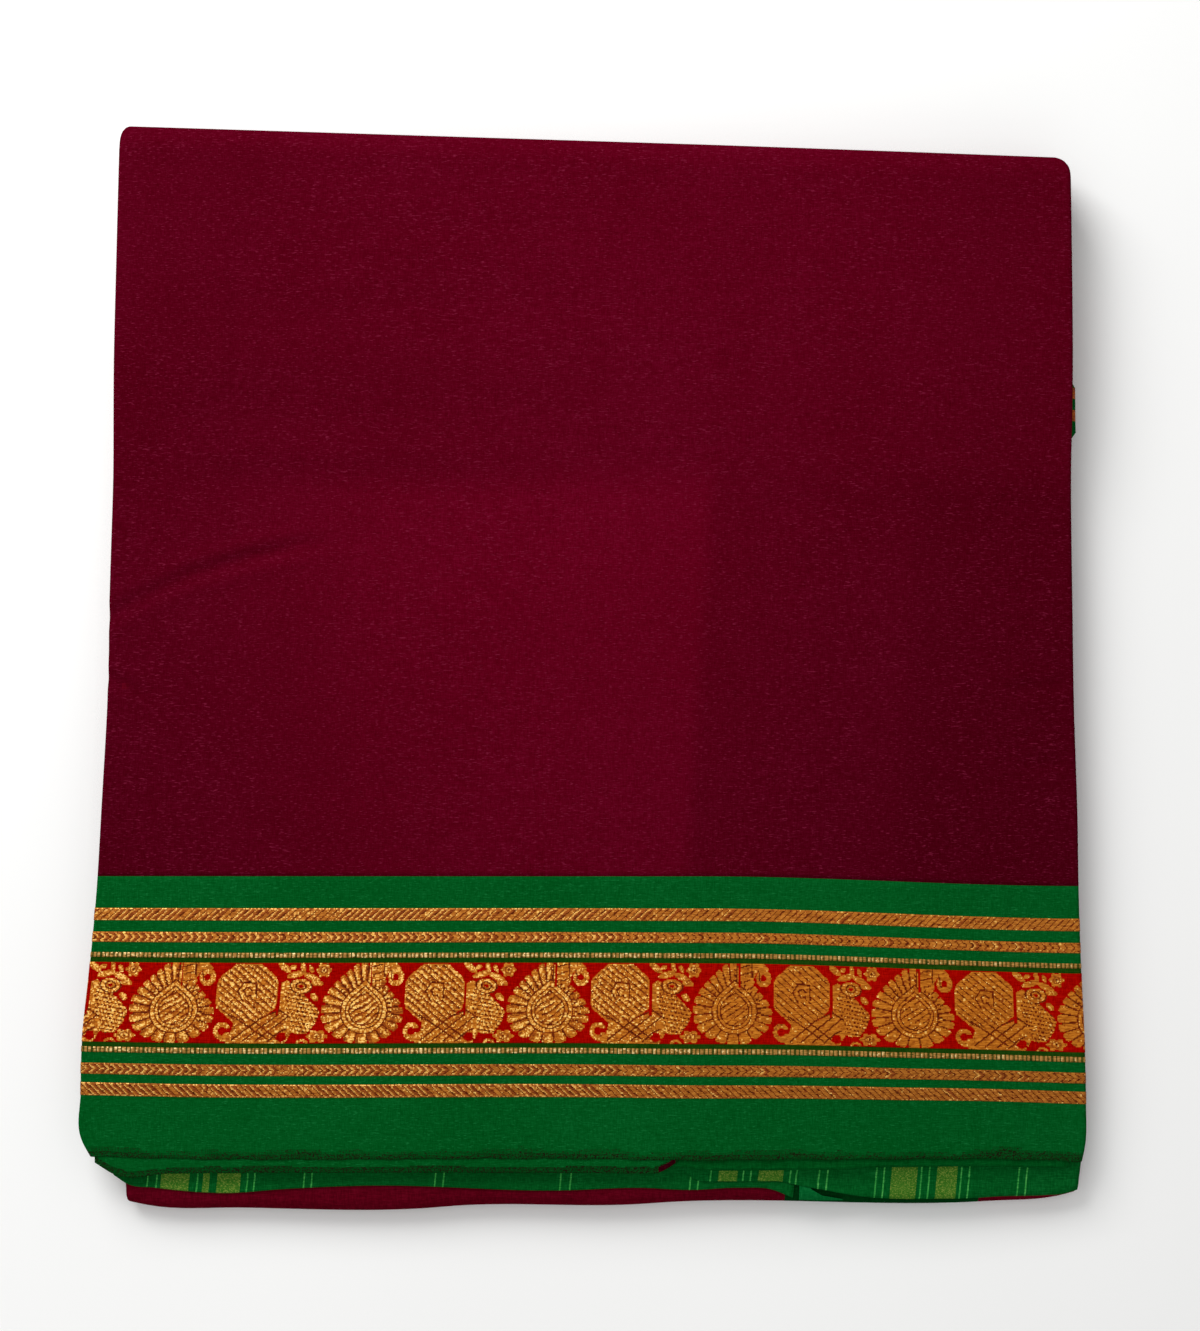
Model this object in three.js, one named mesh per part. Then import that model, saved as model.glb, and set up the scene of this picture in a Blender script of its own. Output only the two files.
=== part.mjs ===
// A cotton saree folded flat: maroon ground, green border with gold lines, lying on a surface.
// Its length was folded into sixteen layers. That long bundle was folded across its width, a
// little past the middle, and then once more. The far edge is the second fold. The near edge has
// the first fold, low down, with the bordered selvedges of the upper part lying on it. The other
// selvedges end inside, a third of the way in from the far fold.
// Millimetres. X runs along the folded cloth, Y from the near edge to the far fold, Z up.
// The origin is the middle of the footprint, on the surface the saree lies on.
import * as THREE from "three";

// Sizes of the cloth as modelled
const CLOTH = 1.1; // wall of one layer
const GAP = 0.3; // clearance between neighbours that touch
const LEVEL = CLOTH + GAP; // drop from one layer's top to the next one's
const FAR_EDGE = 181.4; // Y of the far fold in the middle
const FAR_SLOPE = -0.034; // the far fold runs a little out of square
const JOIN = -72.7; // Y where the maroon ground meets the green border
const FLOOR_SEAM = 125; // Y on the floor where the far stretch is parted from the near one
const FACE = -170; // near face of the hidden layers of the upper part
const STRIP_END = -155; // hidden ends of the layers that show only at the near edge
const STRIP_LEVELS = 2; // how many of those lie on each other

// The folded edges at the sides, as rolls thicker than one layer
const ROLL_RADIUS = 2.4;
const ROLL_DEPTH = 1.9; // how much thicker than one layer
const ROLL_WIDTH = 10;
const ROLL_FADE = { from: -162, to: -139 }; // Y range where the roll flattens towards the near edge

// Height of the pile along its middle. The hidden ends of the innermost part make the step up
// between Y 62 and 106.
const PILE = [
  { y: -185, z: 13.4 },
  { y: -167, z: 15.8 },
  { y: -140, z: 17.8 },
  { y: -70, z: 19.3 },
  { y: 10, z: 20.0 },
  { y: 62, z: 20.3 },
  { y: 106, z: 23.8 },
  { y: 140, z: 24.4 },
  { y: 176, z: 24.0 },
];
// Old fold lines where the top slopes away, as a share of the height lost per millimetre
const SLOPES = [
  { x: 37, lean: 0.05, side: 1, share: 0.0013 },
  { x: 111, lean: 0.02, side: 1, share: 0.0014 },
  { x: 37, lean: 0.05, side: -1, share: 0.0008 },
];
const SLOPE_SOFTNESS = 4.5;
const SLOPE_FADE = { from: 55, to: 108, keep: 0.45 }; // the lines die out towards the far fold

// Outline of the upper part
const UPPER = [
  { y: -167.5, left: -166.0, right: 167.9 },
  { y: -161.9, left: -169.0, right: 169.0 },
  { y: -145.3, left: -169.4, right: 169.4 },
  { y: -131.1, left: -169.2, right: 169.2 },
  { y: -105.1, left: -166.9, right: 168.3 },
  { y: -77.3, left: -164.8, right: 167.7 },
  { y: -49.5, left: -163.5, right: 167.6 },
  { y: -9.3, left: -161.9, right: 166.9 },
  { y: 24.7, left: -161.8, right: 166.9 },
  { y: 74.2, left: -160.9, right: 167.0 },
  { y: 129.8, left: -160.1, right: 167.1 },
  { y: 176.2, left: -159.7, right: 167.2 },
];
// Outline of the lower part, drawn in at the near left
const LOWER = [
  { y: -180.5, left: -154.9, right: 167.2 },
  { y: -123.7, left: -158.3, right: 167.2 },
  { y: -49.5, left: -160.1, right: 166.9 },
  { y: 37.1, left: -160.6, right: 166.6 },
  { y: 176.2, left: -159.7, right: 167.2 },
];
const CORNER_INSET = { left: 1.6, right: 3.8 }; // rounding of the far corners, seen from above
const CORNER_SHARPNESS = 4;

// Near edges, from the top layer down
const TOP_SELVEDGE = [
  { x: -169.4, y: -166.5 },
  { x: -142.2, y: -167.2 },
  { x: 37.1, y: -167.1 },
  { x: 71.1, y: -166.6 },
  { x: 142.2, y: -167.5 },
  { x: 169.4, y: -168.7 },
];
const SECOND_SELVEDGE = [
  { x: -164.5, y: -168.7 },
  { x: -158.3, y: -172.6 },
  { x: -139.7, y: -172.4 },
  { x: -61.8, y: -172.0 },
  { x: 23.5, y: -172.1 },
  { x: 27.8, y: -170.3 },
  { x: 32.1, y: -167.9 },
];
const LEFT_END_SELVEDGE = [
  { x: -158.9, y: -173.3 },
  { x: -154.5, y: -176.3 },
  { x: -145.3, y: -177.6 },
  { x: -119.9, y: -179.4 },
  { x: -102.0, y: -178.1 },
  { x: -74.8, y: -176.9 },
  { x: -7.4, y: -178.4 },
  { x: 19.1, y: -177.5 },
  { x: 35.9, y: -178.2 },
  { x: 52.5, y: -177.5 },
  { x: 63.7, y: -178.2 },
  { x: 70.5, y: -181.1 },
];
const RIGHT_END_SELVEDGE = [
  { x: 33.4, y: -170.3 },
  { x: 37.1, y: -174.7 },
  { x: 69.9, y: -175.5 },
  { x: 79.7, y: -177.5 },
  { x: 93.3, y: -179.4 },
  { x: 106.3, y: -180.5 },
  { x: 119.9, y: -180.1 },
  { x: 140.3, y: -177.1 },
  { x: 155.8, y: -176.0 },
  { x: 166.9, y: -174.0 },
];
const TURNED_CORNER_EDGE = [
  { x: 71.7, y: -181.5 },
  { x: 85.9, y: -181.7 },
];
const NEAR_FOLD_EDGE = [
  { x: -155.1, y: -182.7 },
  { x: -147.7, y: -184.2 },
  { x: -115.6, y: -185.0 },
  { x: -51.9, y: -185.0 },
  { x: -44.5, y: -184.4 },
  { x: 19.1, y: -183.7 },
  { x: 26.6, y: -183.2 },
  { x: 137.3, y: -182.8 },
  { x: 161.3, y: -181.0 },
  { x: 167.5, y: -179.4 },
];
const NEAR_FOLD_SHARE = 0.62; // height of the near fold against the pile over it

// Hidden layers: parts of sixteen layers each, whose folded edges show as lobes at the sides
const PARTS = 3;
const LOBES = 6;
const PART_DEPTH = 0.9;
const LOBE_DEPTH = 1.9;
const SIDE_INSET = 1.6; // behind the outermost layer
const STEPS = 6; // selvedges that show as steps on the near face
const STEP_DEPTH = 1.2;
const SHELF_END = FACE - STEP_DEPTH - GAP; // where the near fold ends on top, hidden by the layers over it

// Mesh fineness
const EDGE_COLUMNS = [0, 0.4, 1.2, 2.4, 5, 10, 19]; // distances from a side
const MIDDLE_COLUMNS = 14;
const TOP_ROWS = 20;
const FOLD_ROWS = 10;
const FAR_FLOOR_ROWS = 2;
const NEAR_FLOOR_ROWS = 6;
const SHELF_ROWS = 1;
const BORDER_ROWS = 8;
const STRIP_ROWS = 3;
const STRIP_COLUMNS = 2; // for each row of a selvedge's table
const INNER_COLUMNS = 18;
const INNER_NEAR_ROWS = [0, 20, 28]; // distances from the near face, for the ends lying on top
const INNER_ROWS = 19;
const INNER_LEVELS = 18;

const COLOURS = { maroon: 0x5b041d, green: 0x006030, stripedGreen: 0x0a6a34, inner: 0x4f0419 };

const clamp = (v) => Math.min(1, Math.max(0, v));
const smooth = (v) => clamp(v) ** 2 * (3 - 2 * clamp(v));
const mix = (a, b, w) => a + (b - a) * w;
const fade = (range, v) => smooth((v - range.from) / (range.to - range.from));

// Smooth curve through a table's rows: the column named to, at a value of the column named by.
function along(table, by, to, value) {
  const last = table.length - 1;
  const v = Math.min(Math.max(value, table[0][by]), table[last][by]);
  let i = 0;
  while (i < last - 1 && v > table[i + 1][by]) i += 1;
  const slope = (k) => {
    const a = table[Math.max(k - 1, 0)];
    const b = table[Math.min(k + 1, last)];
    return (b[to] - a[to]) / (b[by] - a[by]);
  };
  const [p, q] = [table[i], table[i + 1]];
  const span = q[by] - p[by];
  const w = (v - p[by]) / span;
  const start = (1 + 2 * w) * (1 - w) ** 2 * p[to] + w * (1 - w) ** 2 * span * slope(i);
  return start + w * w * (3 - 2 * w) * q[to] + w * w * (w - 1) * span * slope(i + 1);
}

const farY = (x) => FAR_EDGE + FAR_SLOPE * x;
const leftAt = (y) => along(UPPER, "y", "left", y);
const rightAt = (y) => along(UPPER, "y", "right", y);
const lowerLeftAt = (y) => along(LOWER, "y", "left", y);
const lowerRightAt = (y) => along(LOWER, "y", "right", y);

// Share of the height that is left beside the old fold lines.
function slopeShare(x, y) {
  const strength = mix(1, SLOPE_FADE.keep, fade(SLOPE_FADE, y));
  let lost = 0;
  for (const line of SLOPES) {
    const past = line.side * (x - line.x - line.lean * y);
    lost += (line.share * strength * (past + Math.hypot(past, SLOPE_SOFTNESS))) / 2;
  }
  return 1 - lost;
}

// Height of the outer surface of the pile above the floor.
const pileTop = (x, y) => along(PILE, "y", "z", y) * slopeShare(x, y);
const farRadius = (x) => pileTop(x, farY(x)) / 2;
const farStart = (x) => farY(x) - farRadius(x);
const nearHeight = (x) => NEAR_FOLD_SHARE * pileTop(x, UPPER[0].y);
const nearTip = (x) => along(NEAR_FOLD_EDGE, "x", "y", x);
const nearStart = (x) => nearTip(x) + nearHeight(x) / 2;

// How far the top surface curves down at distance d from a folded side.
function rollDrop(d, y) {
  const into = Math.max(ROLL_RADIUS - d, 0);
  return fade(ROLL_FADE, y) * (ROLL_RADIUS - Math.sqrt(Math.max(ROLL_RADIUS ** 2 - into ** 2, 0)));
}

// Depth of the outer layer's wall at distance d from a folded side.
function wallAt(d, y) {
  const inside = fade({ from: ROLL_RADIUS, to: ROLL_WIDTH }, d);
  return CLOTH + ROLL_DEPTH * fade(ROLL_FADE, y) * (1 - inside);
}

const outerTop = (x, y, d) => pileTop(x, y) - rollDrop(d, y);
const outerUnder = (x, y, d) => pileTop(x, y) - wallAt(d, y);

// Columns across the cloth: close together at both sides, even in the middle.
function columns(left, right) {
  const inset = EDGE_COLUMNS[EDGE_COLUMNS.length - 1];
  const middle = Array.from({ length: MIDDLE_COLUMNS }, (_, i) =>
    mix(left + inset, right - inset, (i + 1) / (MIDDLE_COLUMNS + 1)),
  );
  const rightColumns = EDGE_COLUMNS.map((d) => right - d).reverse();
  return [...EDGE_COLUMNS.map((d) => left + d), ...middle, ...rightColumns];
}
const ACROSS = 2 * EDGE_COLUMNS.length + MIDDLE_COLUMNS - 1;

// A closed wall between two grids of points. outer(i, j) and inner(i, j) give the points of
// column i and row j, and rim(i, j, w) the points between them round the edge, w from 0 to 1.
function closedWall({ across, rows, levels = 1, outer, inner, rim }) {
  const points = [];
  const faces = [];
  const put = (p) => points.push(p[0], p[1], p[2]) / 3 - 1;
  const grid = (f) =>
    Array.from({ length: rows + 1 }, (_, j) => Array.from({ length: across + 1 }, (__, i) => put(f(i, j))));
  const quad = (a, b, c, d) => faces.push(a, b, c, a, c, d);
  const top = grid(outer);
  const under = grid(inner);
  for (let j = 0; j < rows; j += 1) {
    for (let i = 0; i < across; i += 1) {
      quad(top[j][i], top[j][i + 1], top[j + 1][i + 1], top[j + 1][i]);
      quad(under[j][i], under[j + 1][i], under[j + 1][i + 1], under[j][i + 1]);
    }
  }
  const loop = [];
  for (let i = 0; i < across; i += 1) loop.push([i, 0]);
  for (let j = 0; j < rows; j += 1) loop.push([across, j]);
  for (let i = across; i > 0; i -= 1) loop.push([i, rows]);
  for (let j = rows; j > 0; j -= 1) loop.push([0, j]);
  const rings = [loop.map(([i, j]) => top[j][i])];
  for (let k = 1; k < levels; k += 1) rings.push(loop.map(([i, j]) => put(rim(i, j, k / levels))));
  rings.push(loop.map(([i, j]) => under[j][i]));
  for (let k = 0; k < levels; k += 1) {
    for (let m = 0; m < loop.length; m += 1) {
      const n = (m + 1) % loop.length;
      quad(rings[k][m], rings[k + 1][m], rings[k + 1][n], rings[k][n]);
    }
  }
  const geometry = new THREE.BufferGeometry();
  geometry.setAttribute("position", new THREE.Float32BufferAttribute(points, 3));
  geometry.setIndex(faces);
  geometry.computeVertexNormals();
  return geometry;
}

function piece(name, colour, geometry) {
  const material = new THREE.MeshStandardMaterial({ color: colour, roughness: 0.85, metalness: 0 });
  const mesh = new THREE.Mesh(geometry, material);
  mesh.name = name;
  return mesh;
}

// The maroon ground: over the top, round the far fold and a short way back along the floor.
function bodyPanel() {
  const at = (i, j, depth) => {
    const level = clamp(j / TOP_ROWS);
    const turn = Math.PI * clamp((j - TOP_ROWS) / FOLD_ROWS);
    const floorShare = clamp((j - TOP_ROWS - FOLD_ROWS) / FAR_FLOOR_ROWS);
    const guide = mix(mix(JOIN, FAR_EDGE, level), FLOOR_SEAM, floorShare);
    const inset = Math.sin(turn) ** CORNER_SHARPNESS;
    const left = leftAt(guide) + CORNER_INSET.left * inset;
    const right = rightAt(guide) - CORNER_INSET.right * inset;
    const x = columns(left, right)[i];
    const d = Math.min(x - left, right - x);
    const height = depth ? outerUnder : outerTop;
    const start = farStart(x);
    if (j <= TOP_ROWS) {
      const y = mix(JOIN, start, level);
      return [x, y, height(x, y, d)];
    }
    const low = depth ? CLOTH : 0;
    const reach = farRadius(x) - low;
    const y = mix(start + reach * Math.sin(turn), FLOOR_SEAM, floorShare);
    return [x, y, mix(low, height(x, start, d), (1 + Math.cos(turn)) / 2)];
  };
  const geometry = closedWall({
    across: ACROSS,
    rows: TOP_ROWS + FOLD_ROWS + FAR_FLOOR_ROWS,
    outer: (i, j) => at(i, j, false),
    inner: (i, j) => at(i, j, true),
  });
  return piece("body_panel", COLOURS.maroon, geometry);
}

// The lowest stretch: along the floor, round the near fold and back under the selvedges.
function nearFold() {
  const at = (i, j, depth) => {
    const floorShare = clamp(j / NEAR_FLOOR_ROWS);
    const turn = Math.PI * clamp((j - NEAR_FLOOR_ROWS) / FOLD_ROWS);
    const shelfShare = clamp((j - NEAR_FLOOR_ROWS - FOLD_ROWS) / SHELF_ROWS);
    const guide = mix(FLOOR_SEAM, LOWER[0].y, floorShare);
    const x = columns(lowerLeftAt(guide), lowerRightAt(guide))[i];
    const start = nearStart(x);
    const low = depth ? CLOTH : 0;
    const reach = nearHeight(x) / 2 - low;
    const y = mix(FLOOR_SEAM - GAP, start, floorShare) - reach * Math.sin(turn);
    return [x, mix(y, SHELF_END, shelfShare), mix(nearHeight(x) - low, low, (1 + Math.cos(turn)) / 2)];
  };
  const geometry = closedWall({
    across: ACROSS,
    rows: NEAR_FLOOR_ROWS + FOLD_ROWS + SHELF_ROWS,
    outer: (i, j) => at(i, j, false),
    inner: (i, j) => at(i, j, true),
  });
  return piece("near_fold", COLOURS.maroon, geometry);
}

// The green border of the top stretch, from the join to the top selvedge.
function borderPanel() {
  const at = (i, j, depth) => {
    const share = 1 - j / BORDER_ROWS;
    const guide = mix(JOIN - GAP, UPPER[0].y, share);
    const [left, right] = [leftAt(guide), rightAt(guide)];
    const x = columns(left, right)[i];
    const y = mix(JOIN - GAP, along(TOP_SELVEDGE, "x", "y", x), share);
    const d = Math.min(x - left, right - x);
    return [x, y, (depth ? outerUnder : outerTop)(x, y, d)];
  };
  const geometry = closedWall({
    across: ACROSS,
    rows: BORDER_ROWS,
    outer: (i, j) => at(i, j, false),
    inner: (i, j) => at(i, j, true),
  });
  return piece("border_panel", COLOURS.green, geometry);
}

// A layer that shows only at the near edge: a strip that runs back under the border, the given
// number of levels under the top layer.
function strip(name, colour, selvedge, level) {
  const across = selvedge.length * STRIP_COLUMNS;
  const [from, to] = [selvedge[0].x, selvedge[selvedge.length - 1].x];
  const at = (i, j, depth) => {
    const x = mix(from, to, i / across);
    const y = mix(along(selvedge, "x", "y", x), STRIP_END, j / STRIP_ROWS);
    const d = Math.max(Math.min(x - leftAt(y), rightAt(y) - x), 0);
    const top = outerUnder(x, y, d) + CLOTH - level * LEVEL;
    return [x, y, depth ? top - CLOTH : top];
  };
  const geometry = closedWall({
    across,
    rows: STRIP_ROWS,
    outer: (i, j) => at(i, j, false),
    inner: (i, j) => at(i, j, true),
  });
  return piece(name, colour, geometry);
}

// All hidden layers: one solid whose top follows the outer layer, with rounded lobes where the
// folded edges lie at the sides, round ends inside both folds, and steps of selvedges between.
function innerLayers() {
  const floor = CLOTH + GAP;
  const rows = [
    ...INNER_NEAR_ROWS.map((d) => d / (FAR_EDGE - FACE)),
    ...Array.from({ length: INNER_ROWS }, (_, j) =>
      mix(INNER_NEAR_ROWS[INNER_NEAR_ROWS.length - 1] / (FAR_EDGE - FACE), 1, (j + 1) / INNER_ROWS),
    ),
  ];
  const last = rows.length - 1;
  const inset = SIDE_INSET + LOBE_DEPTH + PART_DEPTH;
  const split = 1 / PARTS; // the upper part ends at this share of the way down
  const top = (i, j) => {
    const guide = mix(FACE, FAR_EDGE, rows[j]);
    const x = mix(leftAt(guide) + inset, rightAt(guide) - inset, i / INNER_COLUMNS);
    const y = mix(FACE, farStart(x), rows[j]);
    const atSide = i === 0 || i === INNER_COLUMNS;
    const d = atSide ? 0 : Math.min(x - leftAt(guide), rightAt(guide) - x);
    const staged = j < INNER_NEAR_ROWS.length - 1 ? STRIP_LEVELS * LEVEL : 0;
    return [x, y, pileTop(x, y) - wallAt(d, y) - GAP - staged];
  };
  const foot = (i, j) => {
    const guide = mix(FACE, FAR_EDGE, rows[j]);
    const x = mix(lowerLeftAt(guide) + inset, lowerRightAt(guide) - inset, i / INNER_COLUMNS);
    return [x, mix(nearStart(x), farStart(x), rows[j]), floor];
  };
  const rim = (i, j, w) => {
    const [a, b] = [top(i, j), foot(i, j)];
    const lower = clamp((w - split) / (1 - split));
    const shift = smooth((w - split) * INNER_LEVELS);
    const splitHeight = NEAR_FOLD_SHARE * pileTop(b[0], j === 0 ? UPPER[0].y : b[1]) - LEVEL;
    let [x, y] = [mix(a[0], b[0], shift), mix(a[1], b[1], shift)];
    const z = w < split ? mix(a[2], splitHeight, w / split) : mix(splitHeight, floor, lower);
    const wave = (count) => Math.sqrt(Math.abs(Math.sin(Math.PI * count * w)));
    const lobe = LOBE_DEPTH * wave(LOBES) + PART_DEPTH * wave(PARTS);
    if (i === 0) x -= lobe;
    if (i === INNER_COLUMNS) x += lobe;
    if (j === 0 && w <= split) y -= STEP_DEPTH * ((w * STEPS) % 1);
    if (j === 0 && w > split) y = nearStart(x) - (nearHeight(x) / 2 - floor) * Math.sin(Math.PI * lower);
    if (j === last) y += (farRadius(x) - floor) * Math.sin(Math.PI * w);
    return [x, y, z];
  };
  const geometry = closedWall({
    across: INNER_COLUMNS,
    rows: last,
    levels: INNER_LEVELS,
    outer: top,
    inner: foot,
    rim,
  });
  return piece("inner_layers", COLOURS.inner, geometry);
}

const saree = new THREE.Group();
saree.add(bodyPanel());
saree.add(nearFold());
saree.add(borderPanel());
saree.add(strip("second_border", COLOURS.green, SECOND_SELVEDGE, 1));
saree.add(strip("end_piece_right", COLOURS.stripedGreen, RIGHT_END_SELVEDGE, 1));
saree.add(strip("end_piece_left", COLOURS.stripedGreen, LEFT_END_SELVEDGE, 2));
saree.add(strip("turned_corner", COLOURS.stripedGreen, TURNED_CORNER_EDGE, 2));
saree.add(innerLayers());

export default saree;
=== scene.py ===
"""A cotton saree folded flat, seen from above: maroon ground, green border with gold lines and a
red band of mangoes and peacocks. Lengths are in millimetres until a mesh is made."""

import math
from functools import partial

import bpy
import numpy as np
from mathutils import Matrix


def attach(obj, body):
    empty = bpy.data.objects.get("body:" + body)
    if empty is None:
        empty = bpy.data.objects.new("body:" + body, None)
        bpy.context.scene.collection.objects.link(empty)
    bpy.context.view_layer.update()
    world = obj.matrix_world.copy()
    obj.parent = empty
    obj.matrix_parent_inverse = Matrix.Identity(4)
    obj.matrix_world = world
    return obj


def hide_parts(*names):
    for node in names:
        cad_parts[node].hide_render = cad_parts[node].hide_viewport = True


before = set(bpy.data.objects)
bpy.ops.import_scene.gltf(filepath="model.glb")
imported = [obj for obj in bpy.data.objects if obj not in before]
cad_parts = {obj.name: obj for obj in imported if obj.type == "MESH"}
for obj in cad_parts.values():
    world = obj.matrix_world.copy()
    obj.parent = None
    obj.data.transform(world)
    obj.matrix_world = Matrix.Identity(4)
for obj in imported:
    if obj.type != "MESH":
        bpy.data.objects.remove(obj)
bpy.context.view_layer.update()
MM = 0.001


def table(names, *rows):
    return dict(zip(names.split(), np.array(rows, float).T))


# Sizes of the folded saree, as in the solids
FAR_EDGE = 181.4
FAR_SLOPE = -0.034
JOIN = -72.7
FLOOR_SEAM = 125
BORDER = 93.7  # from the selvedge to the maroon ground
HIDDEN_SELVEDGE = 63.6  # Y of the selvedges that end inside the pile
NEAR_FOLD_SHARE = 0.62  # height of the near fold, as a share of the pile's
WIDTH = 333.0  # across the flat part of the top
LEG = 9.0  # how far the top cloth goes back in under itself at the sides
PILE = table(
    "y z", (-185, 13.4), (-167, 15.8), (-140, 17.8), (-70, 19.3), (10, 20.0), (62, 20.3),
    (84, 22.4), (106, 23.8), (140, 24.4), (176, 24.0),
)
SLOPES = table(
    "x lean side share", (37, 0.05, 1, 0.0013), (111, 0.02, 1, 0.0014), (37, 0.05, -1, 0.0008)
)
SLOPE_SOFTNESS = 3.0
FAR_STEP = (62, 106)  # from and to in Y, where the pile steps up to the far part
SLOPE_FADE = (55, 108, 0.45)  # from and to in Y, and the share that is left beyond
UPPER = table(
    "y left right", (-167.5, -166.0, 167.9), (-161.9, -169.0, 169.0), (-145.3, -169.4, 169.4),
    (-131.1, -169.2, 169.2), (-105.1, -166.9, 168.3), (-77.3, -164.8, 167.7),
    (-49.5, -163.5, 167.6), (-9.3, -161.9, 166.9), (24.7, -161.8, 166.9),
    (74.2, -160.9, 167.0), (129.8, -160.1, 167.1), (176.2, -159.7, 167.2),
)
LOWER = table(
    "y left right", (-180.5, -154.9, 167.2), (-123.7, -158.3, 167.2), (-49.5, -160.1, 166.9),
    (37.1, -160.6, 166.6), (176.2, -159.7, 167.2),
)
CORNER_INSET = {"left": 1.6, "right": 3.8}
TOP_SELVEDGE = table(
    "x y", (-169.4, -166.5), (-142.2, -167.2), (10, -167.2), (37.1, -167.6), (71.1, -167.4),
    (100, -167.4), (142.2, -167.6), (169.4, -168.7),
)
SECOND_SELVEDGE = table(
    "x y", (-164.5, -168.7), (-158.3, -172.6), (-139.7, -172.4), (-61.8, -172.0),
    (-20, -172.0), (10, -172.1), (20.8, -172.2), (24.6, -172.0), (28.6, -170.0), (32.1, -167.4),
)
LEFT_END_SELVEDGE = table(
    "x y", (-158.9, -173.3), (-154.5, -176.3), (-145.3, -177.6), (-119.9, -179.4),
    (-102.0, -178.1), (-74.8, -176.9), (-7.4, -178.4), (19.1, -177.5), (35.9, -178.2),
    (52.5, -177.5), (63.7, -178.2), (70.5, -181.1),
)
RIGHT_END_SELVEDGE = table(
    "x y", (33.4, -170.3), (35.5, -173.4), (38.5, -174.9), (46, -175.2), (60, -175.2),
    (67, -175.4), (72, -176.6), (79.7, -178.0), (93.3, -180.4), (106.3, -181.3), (119.9, -181.3),
    (130, -181.2), (140.3, -180.6), (155.8, -180.3), (163, -179.8), (166.9, -178.6),
)
NEAR_FOLD_EDGE = table(
    "x y", (-155.1, -182.7), (-147.7, -184.2), (-115.6, -185.0), (-51.9, -185.0),
    (-44.5, -184.4), (19.1, -183.7), (26.6, -183.2), (137.3, -182.8), (161.3, -181.0),
    (167.5, -179.4),
)

# The layers: each part of the pile is the same bundle
LAYERS = 16
FAR_PARTS = 4  # parts of the pile at the far fold
JOIN_DROOP = 3.4  # at the right the join lies nearer
BAND_DROOP = 1.3  # and the bands between it and the selvedge a little more
CLOTH = 0.32  # a visible layer
THIN = 0.18  # a hidden one
LEFT_FOLDS = [(2, 5), (3, 4), (7, 16), (8, 15), (9, 14), (10, 13), (11, 12)]
RIGHT_FOLDS = [(2, 7), (3, 6), (4, 5), (9, 16), (10, 15), (11, 14), (12, 13)]
OUTER_FOLD = {"left": 6, "right": 8}  # the layer that the top one folds over to at each side

# Creases of the top: depth of the trough, half width, and the points it runs through
CREASES = [
    (1.35, 2.3, [(-186, 4), (-163, 14.5), (-150, 22), (-134, 29.5), (-113.5, 35.5), (-96, 39.4),
                 (-76, 41)]),
    (0.8, 1.9, [(-180, 1), (-163, -5.0), (-153, -9.5), (-142, -14.5)]),
    (0.6, 2.0, [(143, -9.5), (156, -8.8), (167, -7.0)]),
    (0.45, 2.4, [(145, -35.5), (168, -34.2)]),
    (0.24, 3.5, [(-84, 148), (12, 148.4)]),
    (0.21, 2.5, [(-117.9, 172), (-118.2, 90), (-117.6, 0)]),
    (0.30, 2.4, [(-78.9, -24), (-78.6, -57)]),
    (0.52, 2.6, [(-148.8, -131), (-144, -146), (-138.3, -161)]),
    (0.45, 2.6, [(-18.4, -127), (-21.4, -139), (-19.3, -151), (-7.5, -164)]),
    (0.45, 1.6, [(101.6, -74), (101.8, -86)]),
    (0.45, 1.6, [(145.2, -77), (145.3, -88)]),
    (0.52, 1.6, [(148.8, -150), (148.9, -168)]),
    (-0.45, 5.0, [(-160, 69), (-110, 71), (-60, 70), (0, 67), (35, 66)]),
    (0.38, 7.0, [(-161, 84), (-100, 88), (-20, 86), (36, 80)]),
    (-0.33, 6.0, [(-120, -40), (-90, -52), (-40, -55)]),
    (0.30, 7.0, [(-60, 10), (-20, -8), (20, -20)]),
    (-0.30, 6.0, [(60, 40), (90, 46), (130, 42)]),
    (0.33, 6.0, [(-140, 120), (-90, 118), (-30, 124), (40, 118)]),
    (0.30, 6.0, [(70, 130), (110, 128), (150, 134)]),
]


def fade(start, end, v):
    w = np.clip((v - start) / (end - start), 0, 1)
    return w * w * (3 - 2 * w)


def mix(a, b, w):
    return a + (b - a) * w


def along(t, by, to, value):
    """Smooth curve through a table's rows: the column named to, at a value of the column by."""
    p, q = t[by], t[to]
    slope = np.gradient(q, p) if len(p) > 2 else np.full(len(p), (q[1] - q[0]) / (p[1] - p[0]))
    v = np.clip(value, p[0], p[-1])
    i = np.clip(np.searchsorted(p, v, side="right") - 1, 0, len(p) - 2)
    span = p[i + 1] - p[i]
    w = (v - p[i]) / span
    return (
        (1 + 2 * w) * (1 - w) ** 2 * q[i] + w * (1 - w) ** 2 * span * slope[i]
        + w * w * (3 - 2 * w) * q[i + 1] + w * w * (w - 1) * span * slope[i + 1]
    )


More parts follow.
